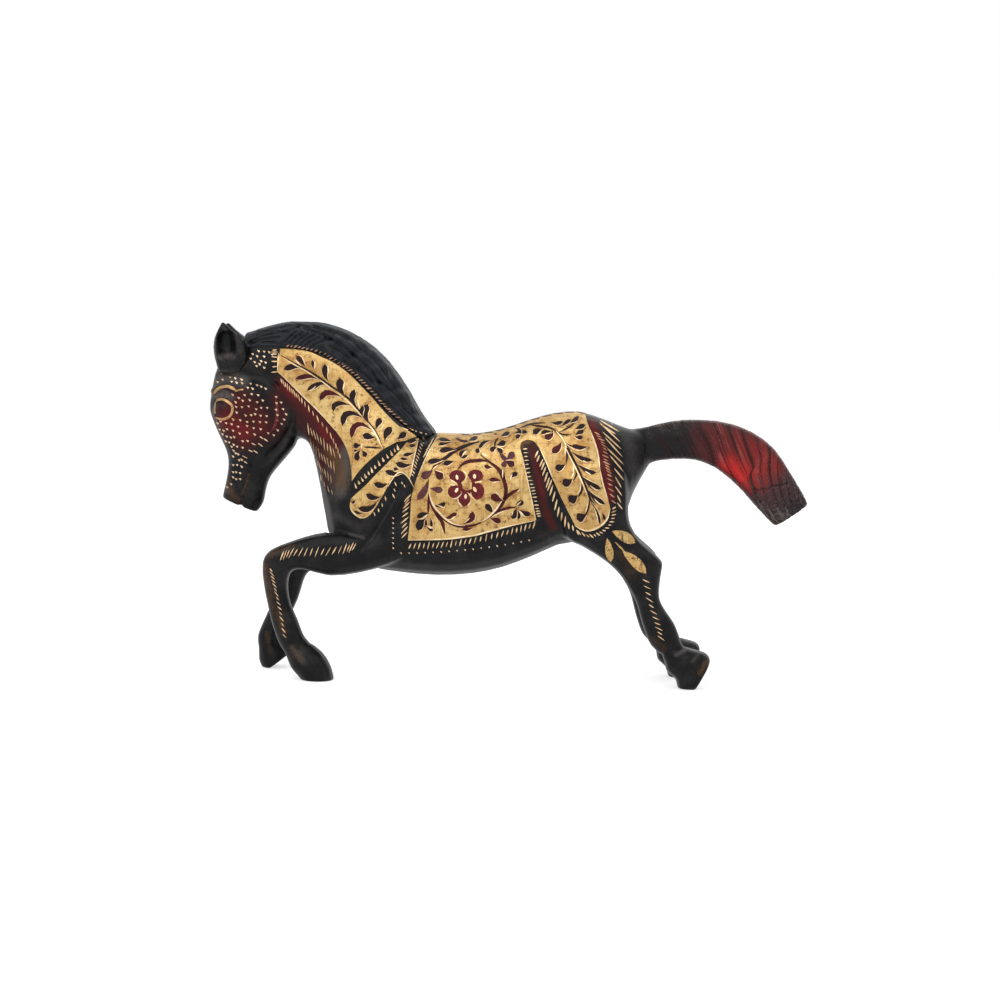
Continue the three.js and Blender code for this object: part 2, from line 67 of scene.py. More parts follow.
forward = Vector((0, math.cos(TILT_DOWN), -math.sin(TILT_DOWN)))
level = Vector((1, 0, 0))
rise = Vector((0, math.sin(TILT_DOWN), math.cos(TILT_DOWN)))
right = level * math.cos(ROLL) + rise * math.sin(ROLL)
up = rise * math.cos(ROLL) - level * math.sin(ROLL)
eye = AIM - forward * AWAY

# How far the castings are grown before they are fused, and the voxel and smoothing steps of each skin
SEAM_FILL = 0.19 * MM
MANE_FILL = 0.4 * MM
EAR_FILL = 0.04 * MM
BODY_VOXEL = 0.55 * MM
MANE_VOXEL = 0.33 * MM
EAR_VOXEL = 0.3 * MM
BODY_SMOOTHING = 22
MANE_SMOOTHING = 30
EAR_SMOOTHING = 14
BODY_SHARE_KEPT = 0.65
MERGE = 0.001 * MM

# Modelling along bands fades out this near the middle plane
MIDDLE_BLEND = 3 * MM

# The dish of an ear: its middle and half size in the photograph's pixels, its depth and the wall behind it
DISH_MIDDLE = (227, 346)
DISH_REACH = (10.5, 16)
DISH_DEPTH = 3.4 * MM
EAR_WALL = 1.2 * MM
BACK_SKIN = 0.8 * MM
BACK_SEARCH = 1.6

# How far out the rim of the dish is at two heights in the photograph
RIM_ROWS = (329, 362)
RIM_OUT = (7.2 * MM, 9.1 * MM)

# How much of the old hollow the dish takes up, as squared shares of its half size
FLOOR_SHARE = 0.85
WALL_SHARE = 1.7
SLIT_SHARE = 2.6
SLIT_DEPTH = 0.6 * MM

# A point of an ear is turned out or back past this share, and its rear part starts at this one
TURNED = 0.3
REAR_PART = 0.6

# Room at the sides of the castings' box for what is laid on the skin
INLAY_ROOM = 0.25 * MM

# How far bare brass and lac stand over the lacquered skin, and how deep they are let into it
PANEL_RISE = 0.1 * MM
PANEL_DEPTH = 0.45 * MM
LAC_RISE = 0.16 * MM
LAYER_STEP = 0.004 * MM
GLINT_RISE = 0.2 * MM
EDGE_RISE = 0.21 * MM
GASKIN_RISE = 0.2 * MM
CUT_RISE = 0.05 * MM
CHIP_DEPTH = 0.35 * MM

# The flat drawing: how far beside the horse it lies, how many times as far above it for the spine,
# and how near two points of an outline are when they count as one
DRAWING_PLANE = 60 * MM
TOP_LIFT = 3
OUTLINE_MERGE = 0.02 * MM

# What falls less than this found no skin, and what falls more steeply than this is torn
LEAST_FALL = 0.01 * MM
TEAR_SLOPE = 3
TEAR_SLACK = 0.3 * MM

# How far the brass is stained round a leaf
STAIN_REACH = 0.7 * MM

# Where the tail is brazed on, and the part of the rump that the cut may touch
TAIL_JOINT = 47 * MM
RUMP_REACH = 15 * MM
TAIL_FLOOR = 56 * MM
JOINT_SLACK = 1 * MM


def deselect():
    if bpy.context.object and bpy.context.object.mode != 'OBJECT':
        bpy.ops.object.mode_set(mode='OBJECT')
    bpy.ops.object.select_all(action='DESELECT')


def pick(obj):
    deselect()
    obj.select_set(True)
    bpy.context.view_layer.objects.active = obj


def new_object(name, mesh):
    obj = bpy.data.objects.new(name, mesh)
    bpy.context.scene.collection.objects.link(obj)
    return obj


def join(objs, name):
    deselect()
    for obj in objs:
        obj.select_set(True)
    bpy.context.view_layer.objects.active = objs[0]
    if len(objs) > 1:
        bpy.ops.object.join()
    objs[0].name = name
    objs[0].data.name = name
    return objs[0]


def modify(obj, kind, **settings):
    """Adds a modifier with its settings and applies it."""
    pick(obj)
    modifier = obj.modifiers.new(kind.lower(), kind)
    for key, value in settings.items():
        setattr(modifier, key, value)
    bpy.ops.object.modifier_apply(modifier=modifier.name)


def points_of(obj, kind="co"):
    out = np.zeros(len(obj.data.vertices) * 3, np.float32)
    obj.data.vertices.foreach_get(kind, out)
    return out.reshape(-1, 3).astype(float)


def normals_of(obj):
    return points_of(obj, "normal")


def place_points(obj, co):
    obj.data.vertices.foreach_set("co", co.astype(np.float32).ravel())
    obj.data.update()


def select_only(obj, points=None, faces=None):
    """Selects some points or faces of a mesh for edit mode, and nothing else."""
    mesh = obj.data
    for items, chosen in ((mesh.vertices, points), (mesh.edges, None), (mesh.polygons, faces)):
        items.foreach_set("select", np.zeros(len(items), bool) if chosen is None else chosen)


def tree_of(places):
    """A search tree of places, numbered in their order."""
    tree = KDTree(len(places))
    for i, place in enumerate(places):
        tree.insert(place, i)
    tree.balance()
    return tree


def mark(obj, name, values):
    """Keeps a value on each point of a skin, for its finish."""
    layer = obj.data.attributes.new(name, 'FLOAT', 'POINT')
    layer.data.foreach_set("value", np.clip(values, 0, 1).astype(np.float32))


# Lines of sight, and places on the skin given as the photograph's pixels


def sight(px, py):
    half = IMAGE / 2
    return (forward * FOCAL + right * (px - half) - up * (py - half)).normalized()


def pixels(co):
    """The pixels of points of the near side. A point of the far side counts as its mirror image."""
    near = co.copy()
    near[:, 1] = -np.abs(near[:, 1])
    away = near - np.array(eye)
    depth = away @ np.array(forward)
    half = IMAGE / 2
    return np.stack([
        half + FOCAL * (away @ np.array(right)) / depth,
        half - FOCAL * (away @ np.array(up)) / depth,
    ], axis=1)


def curve(points, spans=6):
    """A smooth line through points."""
    p = np.array(points, float)
    if len(p) < 3:
        return np.stack([p[0] + (p[-1] - p[0]) * t for t in np.linspace(0, 1, spans + 1)])
    p = np.concatenate([[2 * p[0] - p[1]], p, [2 * p[-1] - p[-2]]])
    out = []
    for a, b, c, d in zip(p[:-3], p[1:-2], p[2:-1], p[3:]):
        for t in np.arange(spans) / spans:
            out.append(0.5 * (2 * b + (c - a) * t + (2 * a - 5 * b + 4 * c - d) * t ** 2
                              + (3 * b - a - 3 * c + d) * t ** 3))
    out.append(p[-2])
    return np.array(out)


def along_line(at, line):
    """Distance of each point from a line, and how far along the line its nearest point is, 0 to 1."""
    line = np.array(line, float)
    steps = np.linalg.norm(np.diff(line, axis=0), axis=1)
    starts = np.concatenate([[0], np.cumsum(steps)])
    best = np.full(len(at), np.inf)
    where = np.zeros(len(at))
    for a, b, length, start in zip(line[:-1], line[1:], steps, starts[:-1]):
        t = np.clip(((at - a) @ (b - a)) / max(length ** 2, 1e-12), 0, 1)
        away = np.linalg.norm(at - (a + t[:, None] * (b - a)), axis=1)
        nearer = away < best
        best = np.where(nearer, away, best)
        where = np.where(nearer, start + t * length, where)
    return best, where / starts[-1]


def near_line(at, line, reach):
    """How strongly points lie within a soft band along a line, 0 to 1."""
    away, _ = along_line(at, curve(line) if len(line) > 2 else line)
    return np.exp(-(away / reach) ** 2)


def near_lines(at, bands):
    """How strongly points lie within soft bands: each band is its line, its reach and its strength."""
    total = np.zeros(len(at))
    for line, reach, strength in bands:
        total = np.maximum(total, strength * near_line(at, line, reach))
    return total


# The castings, copied from the solids, fused and filed smooth


def casting_copy(node):
    return new_object(node + "_copy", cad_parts[node].data.copy())


def fused(nodes, name, voxel, fill, smoothing):
    """Copies of solids with their seams filled and filed smooth, as one skin."""
    skin = join([casting_copy(node) for node in nodes], name)
    skin.data.materials.clear()
    pick(skin)
    bpy.ops.object.mode_set(mode='EDIT')
    bpy.ops.mesh.select_all(action='SELECT')
    bpy.ops.mesh.customdata_custom_splitnormals_clear()
    bpy.ops.mesh.remove_doubles(threshold=MERGE)
    bpy.ops.transform.shrink_fatten(value=fill)
    bpy.ops.object.mode_set(mode='OBJECT')
    remeshed(skin, voxel, smoothing)
    return skin


def remeshed(skin, voxel, smoothing):
    pick(skin)
    skin.data.remesh_voxel_size = voxel
    bpy.ops.object.voxel_remesh()
    keep_outer_skin(skin)
    modify(skin, 'SMOOTH', factor=0.5, iterations=smoothing)


def keep_outer_skin(skin):
    """Drops the inner faces of hollows, which are islands of their own."""
    pick(skin)
    bpy.ops.mesh.separate(type='LOOSE')
    islands = list(bpy.context.selected_objects)
    largest = max(islands, key=lambda one: len(one.data.vertices))
    for one in islands:
        if one is not largest:
            bpy.data.meshes.remove(one.data)
    if largest is not skin:
        raise RuntimeError("the outer skin isn't the first island")


def shaped(skin, bands, outer_only=False):
    """Raises or sinks a skin along bands given in pixels: line, reach in pixels, height."""
    co = points_of(skin)
    at = pixels(co)
    normal = normals_of(skin)
    side = np.clip(np.abs(co[:, 1]) / MIDDLE_BLEND, 0, 1)
    if outer_only:
        side = side * np.clip(2 * normal[:, 1] * np.sign(co[:, 1]), 0, 1)
    move = np.zeros(len(co))
    for line, reach, height in bands:
        move += height * near_line(at, line, reach)
    place_points(skin, co + normal * (move * side)[:, None])


def dished(ear):
    """Opens the hollow of an ear into a smooth dish below its rim, and keeps a wall behind it."""
    co = points_of(ear)
    normal = normals_of(ear)
    at = pixels(co)
    outward = normal[:, 1] * np.sign(co[:, 1])
    out_from_middle = np.abs(co[:, 1])
    places = np.column_stack([at, np.zeros(len(at))])
    tree = tree_of(places)
    behind = np.array([
        min(out_from_middle[i] for _, i, _ in tree.find_range(place, BACK_SEARCH)) for place in places
    ])
    back = (outward < -TURNED) & (out_from_middle < behind + BACK_SKIN)
    off = (at - np.array(DISH_MIDDLE)) / np.array(DISH_REACH)
    out = (off ** 2).sum(axis=1)
    rim = np.interp(at[:, 1], RIM_ROWS, RIM_OUT)
    floor = np.maximum(rim - DISH_DEPTH * np.clip(1 - out, 0, 1) ** 0.7, behind + EAR_WALL)
    facing_in = off[:, 0] * normal[:, 0] - off[:, 1] * normal[:, 2] < 0
    facing_in |= (off[:, 0] > REAR_PART) & (outward > TURNED)
    sunk = (out_from_middle < rim - SLIT_DEPTH) & (out < SLIT_SHARE) & facing_in
    hollow = ~back & ((out < FLOOR_SHARE) | ((out < WALL_SHARE) & facing_in) | sunk)
    co[hollow, 1] = np.sign(co[hollow, 1]) * floor[hollow]
    place_points(ear, co)
    remeshed(ear, EAR_VOXEL, EAR_SMOOTHING)


def kept_in_box(skin, room=0.0):
    """Holds a skin inside the size of the castings, with room at the sides for what is laid on it."""
    low, high = (np.array(corner) for corner in cad_box)
    inset = np.array([0, room, 0])
    place_points(skin, np.clip(points_of(skin), low + inset, high - inset))


def cut_at_tail(skin, keep_tail):
    """Cuts the skin across at the root of the tail and closes the cut."""
    pick(skin)
    name = skin.name
    co = points_of(skin)
    rump = (co[:, 0] > TAIL_JOINT - RUMP_REACH) & (co[:, 2] > TAIL_FLOOR)
    faces = [all(rump[v] for v in face.vertices) for face in skin.data.polygons]
    select_only(skin, faces=np.array(faces, bool))
    bpy.ops.object.mode_set(mode='EDIT')
    bpy.ops.mesh.bisect(
        plane_co=(TAIL_JOINT, 0, 0), plane_no=(1, 0, 0), use_fill=True,
        clear_outer=not keep_tail, clear_inner=keep_tail,
    )
    bpy.ops.object.mode_set(mode='OBJECT')
    bpy.ops.mesh.separate(type='LOOSE')
    for island in list(bpy.context.selected_objects):
        if (points_of(island)[:, 0].min() > TAIL_JOINT - JOINT_SLACK) == keep_tail:
            kept = island
        else:
            bpy.data.meshes.remove(island.data)
    kept.name = name
    kept.data.name = name
    return kept


BODY_NODES = [
    "trunk_shell_left", "trunk_shell_right", "head_and_neck",
    "foreleg_left", "foreleg_right", "hindleg_left", "hindleg_right",
]
EAR_NODES = ["ear_left", "ear_right"]
PIN_NODES = [
    "dowel_withers", "dowel_croup", "dowel_brisket", "dowel_flank", "mane_pin_upper", "mane_pin_lower",
]
body = fused(BODY_NODES + ["tail"], "lacquered_body", BODY_VOXEL, SEAM_FILL, BODY_SMOOTHING)

# Modelling of the face, shoulder, haunch and hooves that is filed into the castings
BODY_MODELLING = [
    ([(275, 384), (285, 396), (293, 411), (290, 430), (279, 446), (268, 457)], 3.4, -0.9 * MM),
    ([(217, 371), (240, 375), (260, 376), (276, 385)], 2.6, -0.7 * MM),
    ([(262, 398), (268, 415), (258, 432)], 11, 0.8 * MM),
    ([(222, 409), (224, 409)], 6, 0.7 * MM),
    ([(213, 398), (221, 397), (232, 400), (236, 408)], 2.2, -0.35 * MM),
    ([(214, 391), (224, 386), (236, 391)], 3, 0.7 * MM),
    ([(216, 419), (226, 422), (235, 416)], 2.2, -0.35 * MM),
    ([(252, 463), (247, 482), (241, 506)], 2.0, -0.8 * MM),
    ([(229, 485), (233, 489)], 2.6, -0.6 * MM),
    ([(251, 480), (253, 500)], 4, 0.35 * MM),
    ([(407, 478), (396, 500), (386, 517), (375, 533), (361, 549)], 3.4, -0.9 * MM),
    ([(396, 478), (384, 498), (372, 520)], 6, 0.5 * MM),
    ([(330, 532), (345, 533), (365, 538)], 2.6, -0.6 * MM),
    ([(527, 446), (538, 480), (548, 512), (557, 540)], 5, -0.7 * MM),
    ([(289, 642), (300, 644), (312, 642)], 2.4, -0.2 * MM),
    ([(660, 656), (672, 650), (684, 648)], 2.4, -0.4 * MM),
    ([(272, 560), (282, 566)], 4, -0.35 * MM),
    ([(646, 572), (654, 568)], 4, -0.3 * MM),
    ([(247, 350), (262, 347), (279, 348)], 4, 0.9 * MM),
]
shaped(body, BODY_MODELLING)
kept_in_box(body, INLAY_ROOM)

tail = cut_at_tail(new_object("tail_of_hair", body.data.copy()), keep_tail=True)
body = cut_at_tail(body, keep_tail=False)
modify(body, 'DECIMATE', ratio=BODY_SHARE_KEPT)
kept_in_box(body, INLAY_ROOM)
modify(tail, 'SUBSURF', levels=1, render_levels=1, subdivision_type='SIMPLE')
mane = fused(["mane_comb"], "carved_mane", MANE_VOXEL, MANE_FILL, MANE_SMOOTHING)
ears = [
    fused([node], name, EAR_VOXEL, EAR_FILL, smoothing=0)
    for node, name in zip(EAR_NODES, ["left_ear_cup", "right_ear_cup"])
]
for ear in ears:
    dished(ear)
    shaped(ear, [([(238, 338), (242, 356)], 4, 0.4 * MM)], outer_only=True)
    kept_in_box(ear)

# Hair, carved in leaning strands between the upper and the lower edge of a casting

MANE_CREST = [
    (243, 335), (260, 329), (280, 323), (300, 321), (320, 322), (340, 327), (360, 338),
    (380, 354), (400, 379), (420, 410), (437, 434),
]
MANE_EDGE = [
    (246, 352), (262, 348), (278, 348), (300, 348), (322, 353), (343, 364), (362, 382), (380, 402),
    (398, 420), (424, 436),
]
TAIL_TOP = [
    (630, 430), (645, 428), (660, 424), (680, 420), (700, 419), (720, 421), (740, 428), (760, 439),
    (776, 451), (790, 474), (806, 502),
]
TAIL_UNDER = [
    (640, 464), (660, 458), (690, 458), (702, 461), (715, 468), (730, 477), (745, 492), (760, 509),
    (776, 525),
]


# Locks of the mane that are cut deeper than the strands, and the crack across the tail
MANE_LOCKS = [
    ([(249, 342), (257, 338), (266, 334), (276, 332.3), (286, 331), (293, 328.6), (299, 325.5)], 1.7,
     -0.75 * MM),
    ([(250, 343.5), (258, 340.3), (268, 338), (279, 337)], 1.6, -0.6 * MM),
    ([(262, 342.5), (268, 342), (274, 342.5)], 1.5, -0.5 * MM),
    ([(281, 327), (291, 324.8), (301, 325), (309, 328)], 1.5, -0.45 * MM),
    ([(257, 334.5), (268, 330), (281, 327)], 1.4, -0.35 * MM),
    ([(285, 342), (290, 336.5), (297, 331)], 1.5, -0.6 * MM),
    ([(290, 343), (295, 337.5), (303, 332)], 1.5, -0.65 * MM),
    ([(295, 344), (300, 338.5), (308, 333.5)], 1.5, -0.65 * MM),
    ([(300, 345), (305, 340), (314, 335)], 1.5, -0.65 * MM),
    ([(305, 346), (311, 341), (320, 337)], 1.5, -0.6 * MM),
    ([(311, 347.5), (317, 343), (326, 339.5)], 1.5, -0.55 * MM),
    ([(304, 328.5), (314, 331), (323, 334), (331, 338.5)], 1.6, -0.6 * MM),
    ([(314, 326.5), (326, 329.5), (337, 333.5), (346, 339)], 1.5, -0.5 * MM),
    ([(326, 337), (336, 341), (347, 348.5), (355, 356)], 1.7, -0.6 * MM),
    ([(337, 331), (348, 337.5), (358, 346), (366, 355)], 1.5, -0.5 * MM),
    ([(330, 346), (341, 351), (351, 359), (359, 368)], 1.6, -0.5 * MM),
    ([(344, 361), (355, 367.5), (365, 374), (373, 382)], 1.7, -0.65 * MM),
    ([(352, 353), (364, 363), (374, 374), (381, 384)], 1.6, -0.55 * MM),
    ([(366, 351), (376, 362), (386, 375), (393, 386)], 1.5, -0.45 * MM),
    ([(364, 381), (374, 390), (383, 400), (391, 411)], 1.6, -0.5 * MM),
    ([(377, 380), (389, 388.5), (399, 398), (407, 409)], 1.6, -0.6 * MM),
    ([(386, 402), (397, 411), (406, 421)], 1.5, -0.5 * MM),
    ([(394, 388), (404, 400), (413, 413)], 1.5, -0.45 * MM),
    ([(402, 406), (412, 416), (420, 427)], 1.5, -0.5 * MM),
]
MANE_FOOT = [([(330, 354), (345, 363.5), (364, 383), (380, 401), (395, 415), (404, 422.5)], 4.2, 0.8 * MM)]
TAIL_CRACK = [
    ([(754, 489), (759, 490.5), (763, 488.5), (768, 489.5), (772, 486), (778, 485.5), (788, 483)],
     1.2, -0.45 * MM),
]


def carve_hair(skin, top, under, strands, lean, depth, wave, fine, root=0.0, sweep=0.0):
    """Cuts strands into the sides of hair, and keeps how far along, across and deep each point is."""
    co = points_of(skin)
    at = pixels(co)
    normal = normals_of(skin)
    from_top, along = along_line(at, curve(top))
    from_under, _ = along_line(at, curve(under))
    across = from_top / np.maximum(from_top + from_under, 1e-6)
    leaning = lean + sweep * np.clip(along - 0.3, 0, 1)
    turn = strands * along - leaning * across + wave * np.sin(9 * along + 4 * across)
    turn = turn + 0.35 * np.sin(2.3 * turn) + 0.2 * np.sin(5.1 * turn + 3 * across)
    groove = (1 - np.abs(np.sin(math.pi * turn)) ** fine) * np.clip(along / max(root, 1e-6), 0, 1)
    coarse = 0.65 + 0.35 * np.sin(1.7 * turn + 2.2 * across)
    side = 0.3 + 0.7 * np.clip(1.6 * np.abs(normal[:, 1]), 0, 1)
    place_points(skin, co - normal * (depth * groove * coarse * side)[:, None])
    mark(skin, "along", along)
    mark(skin, "across", across)
    mark(skin, "groove", groove * coarse)
    mark(skin, "strand", (turn - turn.min()) / np.ptp(turn))


def mark_cuts(skin, name, cuts):
    """Keeps how near each point is to cuts that were shaped into a skin."""
    mark(skin, name, near_lines(pixels(points_of(skin)), [(line, reach, 1) for line, reach, _ in cuts]))


carve_hair(mane, MANE_CREST, MANE_EDGE, strands=18, lean=7, depth=0.3 * MM, wave=0.3, fine=0.8)
shaped(mane, MANE_LOCKS + MANE_FOOT)
mark_cuts(mane, "lock", MANE_LOCKS)
carve_hair(
    tail, TAIL_TOP, TAIL_UNDER, strands=50, lean=4.5, depth=0.42 * MM, wave=0.12, fine=0.75,
    root=0.14, sweep=27,
)
shaped(tail, TAIL_CRACK)
mark_cuts(tail, "crack", TAIL_CRACK)
for hair in [mane, tail]:
    kept_in_box(hair)

# Where the body's lacquer is maroon, ash grey or lightened by painted sheen and highlights, or worn to brown
# brass, as bands in pixels

MAROON_BANDS = [
    ([(228, 420), (237, 428), (245, 434)], 17, 1.0),
    ([(240, 402), (254, 414), (262, 430)], 18, 0.72),
    ([(276, 398), (280, 412), (276, 428)], 10, 0.6),
    ([(286, 386), (305, 407), (322, 428), (336, 448)], 13, 0.85),
    ([(304, 420), (318, 450), (328, 478)], 12, 0.6),
    ([(532, 448), (536.3, 468), (540.2, 484.5), (544.7, 507), (549, 518), (553, 526)], 5.6, 0.78),
    ([(592, 424), (600, 448), (606, 472), (610, 496)], 8, 0.9),
]
# Ash grey lacquer and painted sheen: the line along the shoulder crease, the jaw, the inside of the ear and
# the patches on the hind hoof are painted highlights
ASH_AND_SHEEN_BANDS = [
    ([(214, 380), (228, 377), (243, 381)], 8, 0.9),
    ([(217, 396), (225, 394), (231, 397)], 4.5, 0.9),
    ([(346, 452), (345, 470), (340, 492)], 9, 0.8),
    ([(324, 500), (328, 528)], 7, 0.8),
    ([(350, 534), (363, 538)], 3, 0.6),
    ([(400, 490), (391, 507), (380, 526), (370, 542)], 1.6, 0.45),
    ([(604, 421), (618, 428)], 6, 0.4),
    ([(551, 540), (560, 548)], 6, 0.5),
    ([(221, 357), (232, 356)], 4.4, 0.8),
    ([(628, 442), (633, 468)], 10, 0.45),
    ([(338, 516), (358, 528)], 8, 0.4),
    ([(330, 470), (336, 496)], 9, 0.5),
    ([(222, 326), (226, 330)], 3, 0.5),
    ([(676, 655), (684, 651)], 3, 0.7),
    ([(692, 662), (698, 655)], 3, 0.55),
    ([(226, 486), (228, 492)], 4, 0.6),
    ([(270, 556), (290, 549)], 4, 0.4),
    ([(292, 648), (304, 662)], 5, 0.55),
    ([(266, 570), (274, 596), (281, 620)], 5, 0.3),
    ([(292, 426), (282, 448), (268, 468), (261, 488)], 5, 0.4),
    ([(236, 336), (240, 352)], 6, 0.35),
]
WORN_BANDS = [
    ([(268, 556), (280, 550), (292, 546)], 6, 0.42),
    ([(264, 564), (268, 590), (274, 612)], 6, 0.42),
    ([(276, 612), (284, 632)], 5, 0.45),
    ([(226, 470), (229, 488), (238, 500)], 6, 0.42),
    ([(249, 474), (246, 484), (242, 494)], 1.5, 0.55),
    ([(260, 640), (265, 658)], 5, 0.4),
    ([(293, 648), (301, 660)], 6, 0.36),
    ([(700, 674), (706, 662)], 4, 0.5),
    ([(656, 640), (664, 648)], 6, 0.4),
    ([(332, 452), (339, 466), (341, 484)], 10, 0.62),
    ([(521, 447), (524, 442.5), (529, 442)], 3.6, 0.7),
    ([(215.5, 335), (214.5, 350), (216, 358)], 1.6, 0.34),
    ([(622, 556), (632, 574)], 10, 0.35),
]


def mark_lacquer(skin):
    at = pixels(points_of(skin))
    mark(skin, "maroon", near_lines(at, MAROON_BANDS))
    mark(skin, "ash", near_lines(at, ASH_AND_SHEEN_BANDS))
    mark(skin, "worn", near_lines(at, WORN_BANDS))


for skin in [body, *ears]:
    mark_lacquer(skin)

# Finishes


class Tone:
    """A number on its way through a finish. Sums of tones add the nodes they need."""

    def __init__(self, finish, socket):
        self.finish = finish
        self.socket = socket

    def _sum(self, operation, first, second):
        return self.finish.node('ShaderNodeMath', {'operation': operation}, {0: first, 1: second})

    def __add__(self, other):
        return self._sum('ADD', self, other)

    def __sub__(self, other):
        return self._sum('SUBTRACT', self, other)

    def __rsub__(self, other):
        return self._sum('SUBTRACT', other, self)

    def __mul__(self, other):
        return self._sum('MULTIPLY', self, other)

    __radd__ = __add__
    __rmul__ = __mul__


class Finish:
    """A material with its shader's constant values set, and its nodes added one by one."""

    def __init__(self, name, **constants):
        self.material = bpy.data.materials.new(name)
        self.material.use_nodes = True
        self.tree = self.material.node_tree
        self.shader = self.tree.nodes["Principled BSDF"]
        self.feed(self.shader, {key.replace('_', ' '): value for key, value in constants.items()})

    def feed(self, node, inputs):
        for key, value in inputs.items():
            if isinstance(value, Tone):
                self.tree.links.new(value.socket, node.inputs[key])
            else:
                node.inputs[key].default_value = value

    def node(self, kind, settings, inputs, output=0):
        made = self.tree.nodes.new(kind)
        for key, value in settings.items():
            if key == 'stops':
                ramp = made.color_ramp.elements
                while len(ramp) < len(value):
                    ramp.new(1)
                for stop, (at, colour) in zip(ramp, value):
                    stop.position = at
                    stop.color = colour
            else:
                setattr(made, key, value)
        self.feed(made, inputs)
        return Tone(self, made.outputs[output])

    def place(self, scale=(1, 1, 1)):
        """Places on the piece, stretched for a pattern that runs one way."""
        here = self.node('ShaderNodeTexCoord', {}, {}, 'Object')
        return self.node('ShaderNodeMapping', {}, {'Vector': here, 'Scale': scale})

    def noise(self, scale, detail=4.0, stretch=(1, 1, 1)):
        return self.node('ShaderNodeTexNoise', {}, {
            'Vector': self.place(stretch), 'Scale': scale, 'Detail': detail, 'Roughness': 0.6,
        })

    def hairs(self, count):
        """Noise drawn out along the strands of hair."""
        at = self.node('ShaderNodeCombineXYZ', {}, {
            0: self.kept("strand") * count, 1: self.kept("across") * 3,
        })
        return self.node('ShaderNodeTexNoise', {}, {
            'Vector': at, 'Scale': 1.0, 'Detail': 3.0, 'Roughness': 0.6,
        })

    def kept(self, name):
        return self.node('ShaderNodeAttribute', {'attribute_name': name}, {}, 'Fac')

    def step(self, value, low, high):
        return self.node('ShaderNodeMapRange', {'interpolation_type': 'SMOOTHSTEP'}, {
            'Value': value, 'From Min': low, 'From Max': high,
        })

    def mix(self, first, second, share):
        return self.node('ShaderNodeMix', {'data_type': 'RGBA'}, {0: share, 6: first, 7: second}, 2)

    def relief(self, height, depth, strength=1.0):
        return self.node('ShaderNodeBump', {}, {
            'Strength': strength, 'Distance': depth, 'Height': height,
        })

    def done(self, **links):
        self.feed(self.shader, {key.replace('_', ' '): value for key, value in links.items()})
        return self.material


def colour(red, green, blue):
    return (red, green, blue, 1.0)


# The slight blue of the black is partly the lacquer's own tint and partly a painted reflection
BLACK = colour(0.0055, 0.0057, 0.0070)
BLUE_BLACK = colour(0.0055, 0.0072, 0.0115)
DUST = colour(0.058, 0.050, 0.047)
MAROON = colour(0.072, 0.0090, 0.0090)
CRIMSON = colour(0.145, 0.0105, 0.0115)
# Grey of ash, also used for painted sheen and highlights
ASH_AND_SHEEN = colour(0.105, 0.095, 0.090)
BROWN = colour(0.15, 0.075, 0.033)
RESIDUE = colour(0.05, 0.018, 0.014)
GOLD = colour(0.50, 0.305, 0.106)
PALE_GOLD = colour(0.66, 0.475, 0.205)
DEEP_GOLD = colour(0.29, 0.13, 0.034)


def lacquer_finish():
    f = Finish("worn_lacquer", Specular_IOR_Level=0.14)
    clouds = f.noise(160, 5)
    grain = f.noise(1500, 3)
    streaks = f.noise(700, 3, (3, 1, 0.35))
    maroon = f.step(f.kept("maroon") * (clouds * 0.8 + 0.6), 0.12, 0.85)
    crimson = f.step(f.kept("maroon") * (clouds + 0.5), 0.68, 1.05)
    # Ash grey, partly real and partly painted sheen and highlights
    ash = f.step(f.kept("ash") * (grain * 0.7 + streaks * 0.6 + 0.35), 0.15, 0.95)
    worn = f.step(f.kept("worn") * 0.75 + (grain + clouds + streaks) * 0.4, 0.68, 1.05) * f.kept("worn")
    dust = f.step(clouds * 0.9 + grain * 0.3, 0.5, 0.85)
    colour_of = f.mix(f.mix(BLACK, DUST, dust * 0.4), f.mix(MAROON, CRIMSON, crimson), maroon)
    return f.done(
        Base_Color=f.mix(f.mix(colour_of, ASH_AND_SHEEN, ash * 0.8), BROWN, worn),
        Roughness=clouds * 0.2 + ash * 0.2 + 0.24,
        Metallic=worn * 0.6,
        Normal=f.relief(grain * 0.3 + clouds, 0.14 * MM, 0.4),
    )


def gold_finish(name, spoiled):
    """Bare brass scraped both ways, with more or less lacquer left in its scrapes."""
    f = Finish(name, Metallic=1.0)
    clouds = f.noise(140, 4)
    stains = f.noise(520, 4)
    level_scrapes = f.noise(420, 3, (0.12, 1, 3.2))
    upright_scrapes = f.noise(420, 3, (3.2, 1, 0.15))
    specks = f.noise(1900, 2)
    tone = f.mix(GOLD, PALE_GOLD, f.step(clouds + level_scrapes * 0.5, 0.52, 0.95))
    # Painted shade along the bands, where the brass is darkened
    tone = f.mix(tone, DEEP_GOLD, f.kept("tarnish") * 0.5)
    tone = f.mix(tone, DEEP_GOLD, f.step(f.kept("near_leaf") * 0.2 + stains, 0.5, 0.8) * 0.75)
    tone = f.mix(tone, DEEP_GOLD, f.step(level_scrapes, 0.55, 0.72) * 0.5)
    tone = f.mix(tone, DEEP_GOLD, f.step(upright_scrapes, 0.55, 0.72) * 0.5)
    left = f.step(specks * 0.7 + stains * 0.4, 0.63 - spoiled, 0.71 - spoiled)
    return f.done(
        Base_Color=f.mix(tone, RESIDUE, left * 0.85),
        Metallic=1 - left * 0.8,
        Roughness=level_scrapes * 0.2 + left * 0.2 + 0.4,
        Normal=f.relief(level_scrapes + upright_scrapes - left * 0.3, 0.09 * MM, 0.6),
    )


def cut_finish(name, bright, dull):
    f = Finish(name, Metallic=1.0)
    clouds = f.noise(500, 3)
    return f.done(
        Base_Color=f.mix(bright, dull, f.step(clouds, 0.4, 0.7)),
        Roughness=clouds * 0.2 + 0.3,
    )


def lac_finish(name, first, second):
    f = Finish(name, Specular_IOR_Level=0.15)
    clouds = f.noise(700, 3)
    return f.done(
        Base_Color=f.mix(first, second, f.step(clouds, 0.35, 0.7)),
        Roughness=clouds * 0.2 + 0.35,
    )


